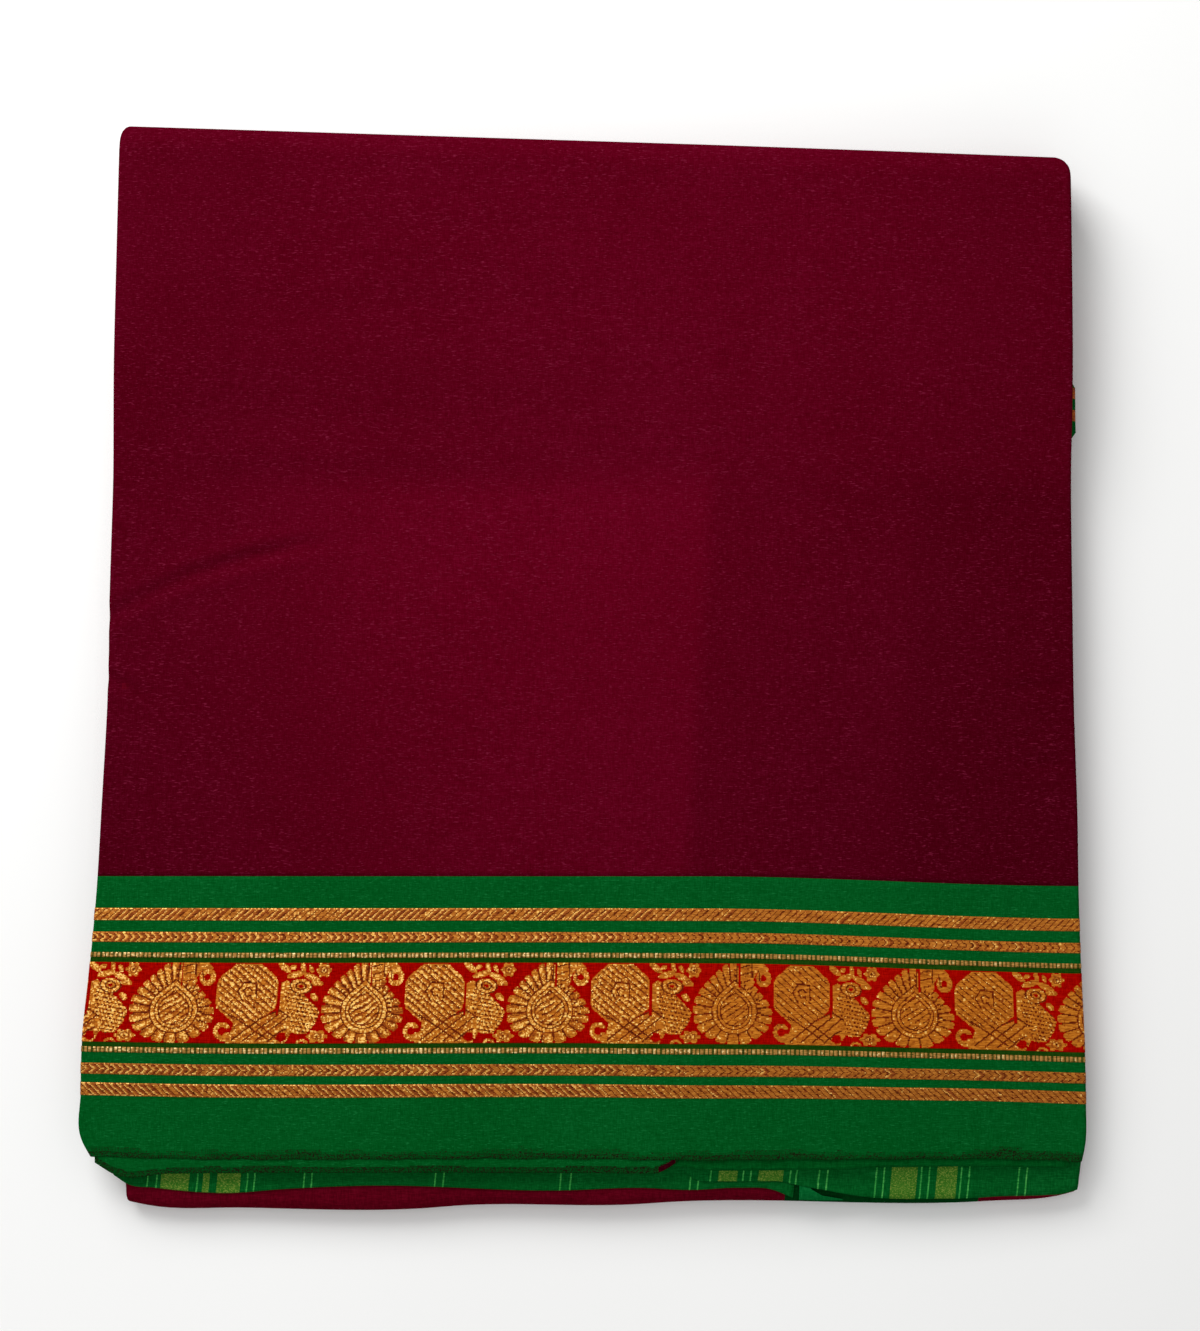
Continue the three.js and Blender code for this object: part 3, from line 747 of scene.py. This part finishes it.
def strands(place, s, row, least, gold, light, gap):
    """Kinds of a row of strands, some with painted light and shade, with dark gaps, and their phase."""
    phase = cycle(place)
    lit = speckle(np.floor(place), row, 20 + row) < least + 0.85 * painted_shine_at(s)
    out = np.where(lit, BROWN_AND_PAINTED_SHADE, GOLD)
    out[lit & (phase < gold)] = GOLD
    out[lit & (phase < light)] = PAINTED_HIGHLIGHT
    out[phase > gap] = DARK
    return out, phase


def weave_rope(s, v, height, rising):
    """Slanting strands between two rims. rising says which way they slant."""
    side = 1 if rising else -1
    out, phase = strands((s - side * v * 1.1) / 2.35, s, 1, 0.12, 0.36, 0.2, 0.77)
    rim = (v < 0.42) | (v > height - 0.42)
    out[rim] = GOLD
    # Painted highlights on the rims, more where the gold shines
    scatter(out, s, v, painted_shine_at(s))(rim, PAINTED_HIGHLIGHT, 36, 0.16, 0.3)
    out[rim & (phase > 0.8)] = BROWN_AND_PAINTED_SHADE
    return glint(out, s, v, 17)


def weave_chevron(s, v, height):
    out, _ = strands((s + np.abs(v - height / 2) * 1.2) / 2.5, s, 2, 0.15, 0.42, 0.24, 0.78)
    rim = (v < 0.4) | (v > height - 0.4)
    out[rim] = GOLD
    out[rim & (cycle(s / BEAD) < 0.35)] = BROWN_AND_PAINTED_SHADE
    return glint(out, s, v, 23)


def weave_beads(s, v, height):
    # Each bead: a painted highlight in its middle, gold, painted shade at its sides, and a dark gap
    phase, number = cycle(s / BEAD), np.floor(s / BEAD)
    lit = speckle(number, 3.0, 24) < 0.3 + 0.5 * painted_shine_at(s)
    out = np.full(s.shape, BROWN_AND_PAINTED_SHADE)
    out[phase < 0.6] = GOLD
    out[lit & (phase < 0.4) & (np.abs(v - height / 2) < height * 0.32)] = PAINTED_HIGHLIGHT
    out[phase > 0.66] = DARK
    return glint(out, s, v, 29)


def glint(out, s, v, seed):
    """Painted glints: single floats of the gold weft painted brighter, more where the gold shines, and
    a few painted darker.
    """
    gleam = speckle(np.round(s * 2), np.round(v * 2), seed)
    shine = painted_shine_at(s)
    out[(out == GOLD) & (gleam < 0.02 + 0.22 * shine)] = PAINTED_HIGHLIGHT
    out[(out == GOLD) & (gleam > 0.95)] = BROWN_AND_PAINTED_SHADE
    out[(out == PAINTED_HIGHLIGHT) & (gleam > 0.85)] = GOLD
    return out


def zari(name, start, end, kind, cell, materials):
    """A raised band of gold weft, woven over the border and round the folds at its sides."""
    length, height, middle_of_border = border_length(), end - start, 0.35
    down = max(int(round(height / cell)), 3)
    s = np.arange(-BAND_ENDS[0], WIDTH + BAND_ENDS[1], cell)
    v = np.linspace(start, end, down + 1)
    path = [("border", d / length) for d in v]
    outer, inner = (cloth_grid(path, s, CLOTH / 2 + rise) for rise in (RAISED, -SUNK))
    middle_s, middle_v = np.meshgrid(middles(s), middles(v) - start)
    sides = edges("border", middle_of_border)
    folds_out = [
        CLOTH / 2 + fold_radius("border", middle_of_border, x, (1, OUTER_FOLD[side]))
        for x, side in zip(sides, ("left", "right"))
    ]
    flat_x = mix(sides[0] + folds_out[0], sides[1] - folds_out[1], middle_s / WIDTH)
    if kind == 0:
        faces = weave_rope(flat_x, middle_v, height, rising=name.startswith("upper"))
    else:
        weave = (None, weave_chevron, weave_beads, weave_motifs)[kind]
        faces = weave(flat_x, middle_v, height)
    index, grid = grid_quads(*outer.shape[:2])
    count, columns = index.size, len(s)
    # The underside, hidden in the cloth, is one face from edge to edge for each column
    low, high = np.arange(columns) + count, np.arange(columns) + count + columns
    quads = np.concatenate([
        grid,
        np.stack([low[:-1], high[:-1], high[1:], low[1:]], -1),
        np.stack([index[0, :-1], low[:-1], low[1:], index[0, 1:]], -1),
        np.stack([index[-1, 1:], high[1:], high[:-1], index[-1, :-1]], -1),
    ])
    of_face = np.full(len(quads), BROWN_AND_PAINTED_SHADE)
    of_face[: len(grid)] = faces.ravel()
    points = np.concatenate([outer.reshape(-1, 3), inner[0], inner[-1]])
    return make(name, [(points, quads, of_face)], materials)


def border_length():
    return float(join_y(0.0) - selvedge_y(0.0))


# Materials
def linear(rgb):
    c = np.array(rgb, float) / 255
    return tuple(np.where(c <= 0.04045, c / 12.92, ((c + 0.055) / 1.055) ** 2.4)) + (1.0,)


def stretched_noise(tree, coord, scale, detail=2.0):
    """Noise drawn out along an axis: scale is its number of waves in a metre, each way."""
    nodes, links = tree.nodes, tree.links
    mapping = nodes.new("ShaderNodeMapping")
    mapping.inputs["Scale"].default_value = scale
    noise = nodes.new("ShaderNodeTexNoise")
    noise.inputs["Scale"].default_value = 1.0
    noise.inputs["Detail"].default_value = detail
    links.new(coord, mapping.inputs["Vector"])
    links.new(mapping.outputs["Vector"], noise.inputs["Vector"])
    return noise.outputs["Fac"]


def plug(tree, sockets, values):
    """Sets each input, or links it where its value is an output of another node."""
    for socket, value in zip(sockets, values):
        if isinstance(value, (int, float, tuple)):
            socket.default_value = value
        else:
            tree.links.new(value, socket)


def maths(tree, operation, a, b):
    node = tree.nodes.new("ShaderNodeMath")
    node.operation = operation
    plug(tree, node.inputs, (a, b))
    return node.outputs[0]


def blend(tree, kind, share, first, second):
    node = tree.nodes.new("ShaderNodeMix")
    node.data_type, node.blend_type = "RGBA", kind
    plug(tree, [node.inputs[k] for k in (0, 6, 7)], (share, first, second))
    return node.outputs[2]


def ramp(tree, fac, *stops):
    node = tree.nodes.new("ShaderNodeValToRGB")
    elements = node.color_ramp.elements
    while len(elements) < len(stops):
        elements.new(0.5)
    for element, (place, colour) in zip(elements, stops):
        element.position, element.color = place, colour
    tree.links.new(fac, node.inputs["Fac"])
    return node.outputs["Color"]


def blank(name, roughness, specular):
    m = bpy.data.materials.new(name)
    m.use_nodes = True
    tree = m.node_tree
    bsdf = tree.nodes["Principled BSDF"]
    bsdf.inputs["Roughness"].default_value = roughness
    bsdf.inputs["Specular IOR Level"].default_value = specular
    coord = tree.nodes.new("ShaderNodeTexCoord").outputs["Object"]
    return m, tree, bsdf, coord


def bump(tree, bsdf, height, strength, distance):
    node = tree.nodes.new("ShaderNodeBump")
    node.inputs["Strength"].default_value = strength
    node.inputs["Distance"].default_value = distance
    tree.links.new(height, node.inputs["Height"])
    tree.links.new(node.outputs["Normal"], bsdf.inputs["Normal"])


def cotton(name, dark, mean, pale, specks=None, painted_shading=None, flecks=None):
    """Plain woven cotton: fine warp and weft threads of uneven thickness, with some slubs. specks
    is a colour and its threshold, the painted light and shade a tone for each distance across the
    cloth, near and far, with painted shade towards the near edge, and flecks the colour of the few
    paler fibres."""
    m, tree, bsdf, coord = blank(name, 0.9, 0.0)
    noise = partial(stretched_noise, tree, coord)
    plus, less, times = (partial(maths, tree, kind) for kind in ("ADD", "SUBTRACT", "MULTIPLY"))

    def above(value, limit, gain):
        """How far a value lies above a limit, as a share from 0 to 1."""
        share = times(less(value, limit), gain)
        share.node.use_clamp = True
        return share

    across, along_cloth = noise((420, 3400, 400)), noise((3400, 420, 400))
    slubs, patches = noise((110, 2600, 110), 1.0), noise((150, 130, 150))
    cloud = noise((16, 12, 16), 3.0)
    threads = plus(times(plus(across, along_cloth), 0.42), times(slubs, 0.16))
    wide = plus(times(cloud, 0.14), times(patches, 0.04))
    shade = plus(times(threads, 0.82), wide)
    colour = ramp(tree, shade, *zip((0.36, 0.5, 0.64), map(linear, (dark, mean, pale))))
    # Painted light and shade: the ground's colour times a tone for each X, near and far, and painted
    # shade towards the near edge
    if painted_shading:
        split = tree.nodes.new("ShaderNodeSeparateXYZ")
        tree.links.new(coord, split.inputs[0])
        x, y = split.outputs[0], split.outputs[1]
        place = plus(times(less(x, times(y, SHADING_LEAN)), SHADING_REACH), 0.5)
        tones = [
            ramp(tree, place, *(
                (x_mm * SHADING_REACH * MM + 0.5, (tone, tone, tone, 1)) for x_mm, tone in row
            ))
            for row in painted_shading
        ]
        beyond, nearer = above(y, *FAR_SHADING), above(NEAR_SHADE[0], y, NEAR_SHADE[1])
        colour = blend(tree, "MULTIPLY", 1.0, colour, blend(tree, "MIX", beyond, *tones))
        colour = blend(tree, "MULTIPLY", nearer, colour, (NEAR_SHADE[2],) * 3 + (1.0,))
    if flecks:
        mask = times(above(noise((620, 2600, 620)), *FLECKS), FLECK_STRENGTH)
        colour = blend(tree, "MIX", mask, colour, linear(flecks))
    if specks:
        mask = above(noise((1900, 2600, 1900), 3.0), specks[1], SPECK_GAIN)
        colour = blend(tree, "MIX", mask, colour, linear(specks[0]))
    tree.links.new(colour, bsdf.inputs["Base Color"])
    bump(tree, bsdf, threads, 0.3, 0.00012)
    return m


def metal_weft(name, dark, mean, pale, roughness, metallic, specular):
    """Flat metallic weft over silk: short streaks along the weft."""
    m, tree, bsdf, coord = blank(name, roughness, specular)
    streaks = stretched_noise(tree, coord, (500, 2400, 800))
    colour = ramp(tree, streaks, *zip((0.36, 0.5, 0.66), map(linear, (dark, mean, pale))))
    tree.links.new(colour, bsdf.inputs["Base Color"])
    bsdf.inputs["Metallic"].default_value = metallic
    bump(tree, bsdf, streaks, 0.5, 0.0002)
    return m


SHADING_LEAN = 0.065  # slant of the old fold lines, in X for each Y
SHADING_REACH = 2.5  # share of the ramp of tones for each metre in X
FAR_SHADING = (0.056, 70.0)  # Y in metres where the far tones begin, and how quickly
NEAR_SHADE = (0.040, 8.85, 0.83)  # painted shade: Y where the ground grows darker towards the near edge, rate and tone
FLECKS = (0.585, 6.0)  # threshold and gain of the paler fibres
FLECK_STRENGTH = 0.75
SPECK_GAIN = 12.0
# Painted light and shade of the ground across the cloth, near and far: darker past the old fold lines,
# where the cloth slopes away from the light, and brighter where it faces it
PAINTED_SHADING = (
    ((-165, 0.79), (-125, 0.88), (-99, 0.97), (-70, 1.08), (-40, 1.12), (-10, 1.17), (36.5, 1.15),
     (42, 0.95), (60, 0.91), (87, 0.85), (107, 0.83), (113, 0.79), (129, 0.775), (168, 0.74)),
    ((-165, 0.83), (-125, 0.85), (-99, 0.90), (-40, 0.955), (20, 0.99), (60, 1.0), (87, 0.985),
     (108, 0.96), (129, 0.925), (168, 0.94)),
)
MAROON = cotton(
    "maroon cotton", (71, 0, 13), (81, 1, 19), (93, 5, 30), painted_shading=PAINTED_SHADING, flecks=(116, 28, 54)
)
FLOOR_MAROON = cotton("maroon cotton of the lower fold", (64, 0, 12), (82, 2, 18), (100, 8, 28))
GREEN = cotton("green cotton", (0, 65, 18), (2, 76, 25), (8, 89, 36), flecks=(22, 108, 52))
GREEN_DEEP = cotton("green cotton inside", (0, 56, 14), (1, 70, 22), (8, 86, 32))
END_GREEN = cotton("green cotton of the end piece", (0, 60, 18), (3, 76, 26), (14, 96, 40))
SELVEDGE = cotton(
    "selvedge with turned weft", (0, 50, 12), (3, 62, 19), (14, 78, 30), ((22, 22, 10), 0.49)
)
FADING_SELVEDGE = cotton(
    "selvedge fading out", (0, 58, 15), (2, 70, 22), (10, 84, 33), ((22, 30, 12), 0.55)
)
# Painted shade: the green of the lowest layer made dark, as it lies deep under the layers above
GREEN_SHADE = cotton("green cotton of the lowest layer in painted shade", (0, 36, 9), (1, 46, 14), (4, 58, 20))
GREEN_LINE = cotton("green beside the figured band", (10, 48, 4), (22, 57, 8), (34, 70, 15))
TURNED_MAROON = cotton("maroon weft turned at the selvedge", (24, 0, 4), (44, 1, 10), (66, 5, 18))
GOLD_GREEN = cotton(
    "gold and green stripe", (32, 88, 20), (52, 100, 26), (76, 112, 36), ((106, 128, 50), 0.52)
)
TURNED_GREEN = cotton("green cotton of the turned corner", (0, 72, 26), (4, 88, 38), (20, 106, 52))
PALE_GREEN = cotton("pale green stripe", (8, 86, 30), (44, 134, 56), (92, 174, 88))
RED_SILK = cotton("red silk ground", (110, 0, 0), (146, 3, 0), (172, 14, 4))
# Roughness, metallic share and specular level of the gold weft, from dark to bright
FINISHES = ((0.7, 0.0, 0.05), (0.6, 0.1, 0.08), (0.5, 0.2, 0.1), (0.4, 0.3, 0.3))


def wefts(word, level, *tones, shades=("in shade", "shaded", "gold", "highlit")):
    """The red ground and four kinds of gold weft, their tones times level: the dark lines, gold in
    painted shade, gold, and gold with a painted highlight.
    """
    kinds = [RED_SILK]
    for shade, three, finish in zip(shades, tones, FINISHES):
        scaled = [tuple(level * c for c in tone) for tone in three]
        kinds.append(metal_weft(f"{word} {shade}".strip(), *scaled, *finish))
    return kinds


ZARI = wefts(
    "zari", 1, ((70, 14, 0), (98, 28, 0), (122, 42, 4)), ((112, 44, 2), (142, 64, 6), (168, 86, 16)),
    ((150, 78, 8), (178, 99, 17), (204, 126, 34)), ((214, 138, 44), (242, 180, 80), (255, 216, 126)),
)
ROPE_TONES = (
    ((72, 20, 0), (98, 34, 4), (120, 50, 10)), ((112, 46, 8), (140, 66, 16), (164, 86, 28)),
    ((148, 80, 18), (174, 101, 28), (198, 124, 44)), ((196, 126, 44), (230, 162, 68), (252, 202, 108)),
)
# The upper and lower ropes are copies of one rope weft, the lower painted darker: painted shade
UPPER_ROPES = wefts("upper rope", 0.98, *ROPE_TONES)
LOWER_ROPES = wefts("lower rope", 0.91, *ROPE_TONES)
BEADS = wefts(
    "bead", 1, ((40, 48, 6), (62, 64, 12), (84, 74, 20)), ((84, 64, 16), (112, 84, 28), (136, 100, 40)),
    ((134, 94, 36), (160, 116, 54), (184, 138, 74)), ((190, 150, 84), (214, 178, 112), (236, 206, 144)),
    shades=("gap", "in shade", "", "highlit"),
)

# The sheets
pitch = 2.0
ground_pitch = 1.7
far_path = steps(("ground", int(240 / ground_pitch)), ("far", 24), ("floor", 14))
body = cloth("body_cloth", far_path, ground_pitch, [MAROON])
near_path = steps(("near floor", 30), ("near", 20))
near_path += [("lower", t) for t in (0.008, 0.02, 0.04, 0.07, 0.1)]
near = cloth("near_cloth", near_path, 4.0, [FLOOR_MAROON, GREEN_SHADE], near_faces)

border_reach = np.concatenate([
    [0, 0.5, 1.1, 1.8, 2.6, 3.4], np.linspace(4.6, border_length(), int(90 / (pitch * 0.8))),
    *FIGURE_LINES,
])
border_path = [("border", d / border_length()) for d in np.sort(border_reach)]
border = cloth(
    "border_cloth", border_path, pitch, [GREEN, SELVEDGE, FADING_SELVEDGE, GREEN_LINE], border_faces
)

cell = 0.42
bands = []
for k, name in enumerate(BAND_NAMES):
    start, end, kind = BANDS["start"][k], BANDS["end"][k], int(BANDS["kind"][k])
    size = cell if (kind != 3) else 0.36
    ropes_here = UPPER_ROPES if name.startswith("upper") else LOWER_ROPES
    bands.append(zari(name, start, end, kind, size, {2: BEADS, 3: ZARI}.get(kind, ropes_here)))


STRIP_DEPTH = 26  # how far the layers at the near edge go in from their selvedges
SETTLED = (-175.5, -167.5)  # Y between resting on the near fold and lying in the pile


def strip(xs, front, back, layer, rest, rows, thickness, faces=None, lean=0.0):
    """A layer that shows at the near edge, from the Y of its selvedge back under the border. It
    comes down to rest above the near fold, or keeps its level where rest is None."""
    grids = []
    for off in (thickness / 2, -thickness / 2):
        y = mix(front[None, :], back, rows[:, None])
        x = np.broadcast_to(xs, y.shape)
        t = (y - selvedge_y(x)) / (join_y(x) - selvedge_y(x))
        pitch_there = layer_point("border", t, x, 0.0)[1]
        p = layer_point("border", t, x, layer - 0.5 - off / pitch_there)[0]
        p[..., 1] = y
        if rest is not None:
            radius = near_height(x) / 2
            over = np.clip(near_start(x) - y, 0, radius * 0.98)
            fold_top = radius + np.sqrt(radius**2 - over**2)
            p[..., 2] = mix(fold_top + rest + off, p[..., 2], fade(*SETTLED, y))
        p[..., 0] += lean * np.minimum(y - front[None, :], 8)
        grids.append(p)
    return shell(*grids, faces)


def ends_of(rows):
    return rows["x"][[0, -1]]


PALE_WIDTH = 0.5


def stripes(pale, gold):
    """Start and end in X and material number of each stripe, from the left sides of the pale
    ones, and the left sides and widths of the gold ones."""
    return [(x, x + PALE_WIDTH, 1) for x in pale] + [(x, x + wide, 2) for x, wide in gold]


LEFT_STRIPES = stripes(
    (-147.9, -144.8, -131.2, -114.3, -111.9, -95.0, -92.4, -50.7, -47.9, -8.5, -5.1, 35.3, 38.0),
    ((-143.2, 9.5), (-129.1, 2.2), (-124.3, 7.9)),
)
RIGHT_STRIPES = stripes(
    (42.2, 53.2, 55.7, 69.0, 71.0, 78.5, 81.3, 97.6, 100.2, 112.8, 115.5, 126.3, 129.0, 145.9,
     148.6),
    ((45.1, 6.4), (58.6, 8.3), (102.9, 8.7), (118.3, 6.9)),
)


def striped_columns(spans, start, end):
    xs = np.arange(start, end, 1.5)
    marks = np.array([x for span in spans for x in span[:2]])
    xs = xs[np.min(np.abs(xs[:, None] - marks[None, :]), axis=1) > 0.45]
    return np.unique(np.concatenate([xs, marks[(marks > start) & (marks < end)], [start, end]]))


def stripe_faces(xs, rows, spans):
    middle = middles(xs)
    kinds = np.zeros(len(middle), int)
    for start, end, kind in spans:
        kinds[(middle > start) & (middle < end)] = kind
    return np.broadcast_to(kinds, (len(rows) - 1, len(middle)))


TUFT = (25.2, 31.6)  # X of the maroon weft at the second selvedge
rows = np.concatenate([np.linspace(0, 4, 9), np.linspace(5, STRIP_DEPTH, 6)]) / STRIP_DEPTH
xs = np.linspace(*ends_of(SECOND_SELVEDGE), 140)
turned_weft = 2.2 + 0.5 * wander(3, middles(xs)[None, :], 20)
second_faces = ((middles(rows) * STRIP_DEPTH)[:, None] < turned_weft).astype(int)
second_faces[:4, (xs[1:] > TUFT[0]) & (xs[1:] < TUFT[1])] = 2
front = along(SECOND_SELVEDGE, "x", "y", xs)
second = make(
    "second_border_cloth", [strip(xs, front, -146, 2, 3.6, rows, CLOTH, second_faces)],
    [GREEN, SELVEDGE, TURNED_MAROON],
)
ends = {}
for name, spans, selvedge, layer, rest in (
    ("end_left_cloth", LEFT_STRIPES, LEFT_END_SELVEDGE, 6, 0.5),
    ("end_right_cloth", RIGHT_STRIPES, RIGHT_END_SELVEDGE, 4, 1.1),
):
    xs = striped_columns(spans, *ends_of(selvedge))
    front, faces = along(selvedge, "x", "y", xs), stripe_faces(xs, rows, spans)
    parts = [strip(xs, front, -148, layer, rest, rows, CLOTH, faces, lean=0.1)]
    ends[name] = make(name, parts, [END_GREEN, PALE_GREEN, GOLD_GREEN])
corner_edge = table("x y", (72.6, -181.8), (79, -182.0), (87.4, -181.9))
xs = np.linspace(*ends_of(corner_edge), 18)
corner_back = np.interp(xs, (72.6, 74.4, 77, 80.4, 87.4), (-164, -175.6, -178.2, -180.2, -181.5))
front = along(corner_edge, "x", "y", xs)
parts = [strip(xs, front, corner_back, 7, 0.9, rows, CLOTH)]
corner = make("corner_cloth", parts, [TURNED_GREEN])

# Hidden layers: the folds at the sides, the same all along the bundle, and the near edges
INSIDE = (("lower", 86), ("crease", 12), ("inner", 52))
fold_path = steps(
    ("border", 47), ("ground", 60), ("far", 16), ("floor", 14), ("near floor", 60), ("near", 14),
    *INSIDE,
)
STAND_OUT = 2.9  # how far the inner border stands out at the right
STAND_OUT_Y = (75.5, 79), (95, 99.5)  # where it begins to, and where it ends
FOLD_GREEN, FOLD_GOLD, FOLD_RED, FOLD_MAROON = range(4)
FOLD_MATERIALS = [GREEN_DEEP, ZARI[BROWN_AND_PAINTED_SHADE], ZARI[RED], FLOOR_MAROON]


def band_kind(away):
    """Material number of the cloth at a distance from its selvedge."""
    if away > BORDER + 0.5:
        return FOLD_MAROON
    for start, end, kind in zip(BANDS["start"], BANDS["end"], BANDS["kind"]):
        if start <= away <= end:
            return FOLD_RED if kind == 3 else FOLD_GOLD
    return FOLD_GREEN


def away_from_selvedge(stage, t):
    if stage == "border":
        return t * border_length()
    if stage == "inner":
        return (1 - t) * (far_start(0.0) - HIDDEN_SELVEDGE)
    return 1e3


def ribbon(side, pair, path, seed):
    """One hidden fold at a side, running the length of the path."""
    sign = 1 if side == "left" else -1
    arc = np.concatenate([[0, 0, 0], np.linspace(0, 1, 8)[1:-1], [1, 1, 1]])
    leg = np.concatenate([[7, 2.5, 0], np.zeros(6), [0, 2.5, 7]])
    if side == "left":
        arc, leg = arc[::-1], leg[::-1]
    outer, inner, kinds = [], [], []
    depth = 0.25 + 0.35 * (seed % 3) / 2
    for k, (stage, t) in enumerate(path):
        left, right = edges(stage, t)
        inset = depth + 0.3 * float(wander(seed, 3.0 * k, 60))
        if stage == "border":
            inset += (1 - fade(0, 0.2, t)) * 0.12 * pair[0]
        if stage == "inner" and side == "right" and pair[0] < 4:
            y = straight_y(stage, t, 166.0)
            begin, finish = STAND_OUT_Y
            inset -= STAND_OUT * fade(*begin, y) * (1 - fade(*finish, y))
        edge = left + inset if side == "left" else right - inset
        outer.append(side_fold(stage, t, edge, pair, sign, arc, leg, THIN / 2))
        inner.append(side_fold(stage, t, edge, pair, sign, arc, leg, -THIN / 2))
        if k:
            before = away_from_selvedge(*path[k - 1])
            kinds.append([band_kind((before + away_from_selvedge(stage, t)) / 2)] * (len(arc) - 1))
    return shell(np.stack(outer), np.stack(inner), np.array(kinds))


inside_path = steps(*INSIDE)
folds = {}
for side, pairs in (("left", LEFT_FOLDS), ("right", RIGHT_FOLDS)):
    parts = [ribbon(side, pair, fold_path, 10 * k + len(side)) for k, pair in enumerate(pairs)]
    parts.append(ribbon(side, (1, OUTER_FOLD[side]), inside_path, 77 + len(side)))
    folds[side] = make(side + "_folds", parts, FOLD_MATERIALS)

HIDDEN_EDGE = -169.4  # Y of the hidden selvedges at the near edge
xs = np.linspace(-160, 164, 110)
near_rows = np.array([0, 0.05, 0.2, 0.6, 1.0])
dip = 1.0 * fade(30, 44, xs) * (1 - fade(84, 100, xs))
parts = []
for layer in range(3, LAYERS + 1):
    shift = np.random.default_rng(layer).uniform(-1.0, 1.2)
    front = HIDDEN_EDGE - dip + shift + 0.5 * wander(layer, xs, 90)
    parts.append(strip(xs, front, -150, layer, None, near_rows, THIN))
hidden = make("hidden_selvedges", parts, [GREEN_DEEP])

# What each piece stands for and how it moves: each hangs on the root body and hides the solids it
# stands for
for piece, nodes, slot in (
    (body, ["body_panel"], "ground_cloth"), (near, ["near_fold"], "ground_cloth"),
    (border, ["border_panel"], "border_cloth"), (second, ["second_border"], "border_cloth"),
    (ends["end_left_cloth"], ["end_piece_left"], "end_piece_cloth"),
    (ends["end_right_cloth"], ["end_piece_right"], "end_piece_cloth"),
    (corner, ["turned_corner"], "end_piece_cloth"),
    (folds["left"], ["inner_layers"], "ground_cloth"),
    (folds["right"], ["inner_layers"], "ground_cloth"),
    (hidden, ["inner_layers"], "border_cloth"),
):
    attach(piece, "root")
    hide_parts(*nodes)
for piece in bands:
    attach(piece, "root")
    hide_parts("border_panel")

# Floor, light and camera
floor_mesh = bpy.data.meshes.new("floor")
floor_mesh.from_pydata([(-4, -4, 0), (4, -4, 0), (4, 4, 0), (-4, 4, 0)], [], [(0, 1, 2, 3)])
floor = bpy.data.objects.new("floor", floor_mesh)
bpy.context.scene.collection.objects.link(floor)
m, tree, bsdf, coord = blank("pale floor", 0.9, 0.1)
tone = stretched_noise(tree, coord, (3, 3, 3), 2.0)
tree.links.new(
    ramp(tree, tone, (0.3, linear((238, 238, 237))), (0.7, linear((242, 242, 241)))),
    bsdf.inputs["Base Color"],
)
floor_mesh.materials.append(m)

scene = bpy.context.scene
scene.view_settings.view_transform = "Standard"
world = bpy.data.worlds.new("studio")
scene.world = world
world.use_nodes = True
world.node_tree.nodes["Background"].inputs["Color"].default_value = (1, 1, 1, 1)
world.node_tree.nodes["Background"].inputs["Strength"].default_value = 0.5


def lamp(name, place, aim, size, energy):
    data = bpy.data.lights.new(name, "AREA")
    data.shape, data.size, data.energy = "SQUARE", size, energy
    obj = bpy.data.objects.new(name, data)
    scene.collection.objects.link(obj)
    way = np.array(place) - np.array(aim)
    flat = math.hypot(way[0], way[1])
    obj.location = place
    obj.rotation_euler = (math.atan2(flat, way[2]), 0, math.atan2(way[1], way[0]) + math.pi / 2)


lamp("key", (-0.5, 0.8, 0.74), (0, 0, 0), 0.7, 13)
lamp("top", (-0.35, 0.1, 1.6), (0, 0, 0), 1.0, 3)
lamp("near", (-0.1, -1.2, 0.7), (0, 0, 0), 0.9, 2)

camera_data = bpy.data.cameras.new("camera")
camera = bpy.data.objects.new("camera", camera_data)
scene.collection.objects.link(camera)
elevation, distance, target = math.radians(86), 0.7487, (0.0054, -0.0009, 0.0093)
camera.location = (
    target[0], target[1] - distance * math.cos(elevation), target[2] + distance * math.sin(elevation)
)
camera.rotation_euler = (math.pi / 2 - elevation, 0, 0)
camera_data.lens, camera_data.sensor_width = 59.0, 36
camera_data.clip_start, camera_data.clip_end = 0.01, 20
scene.camera = camera
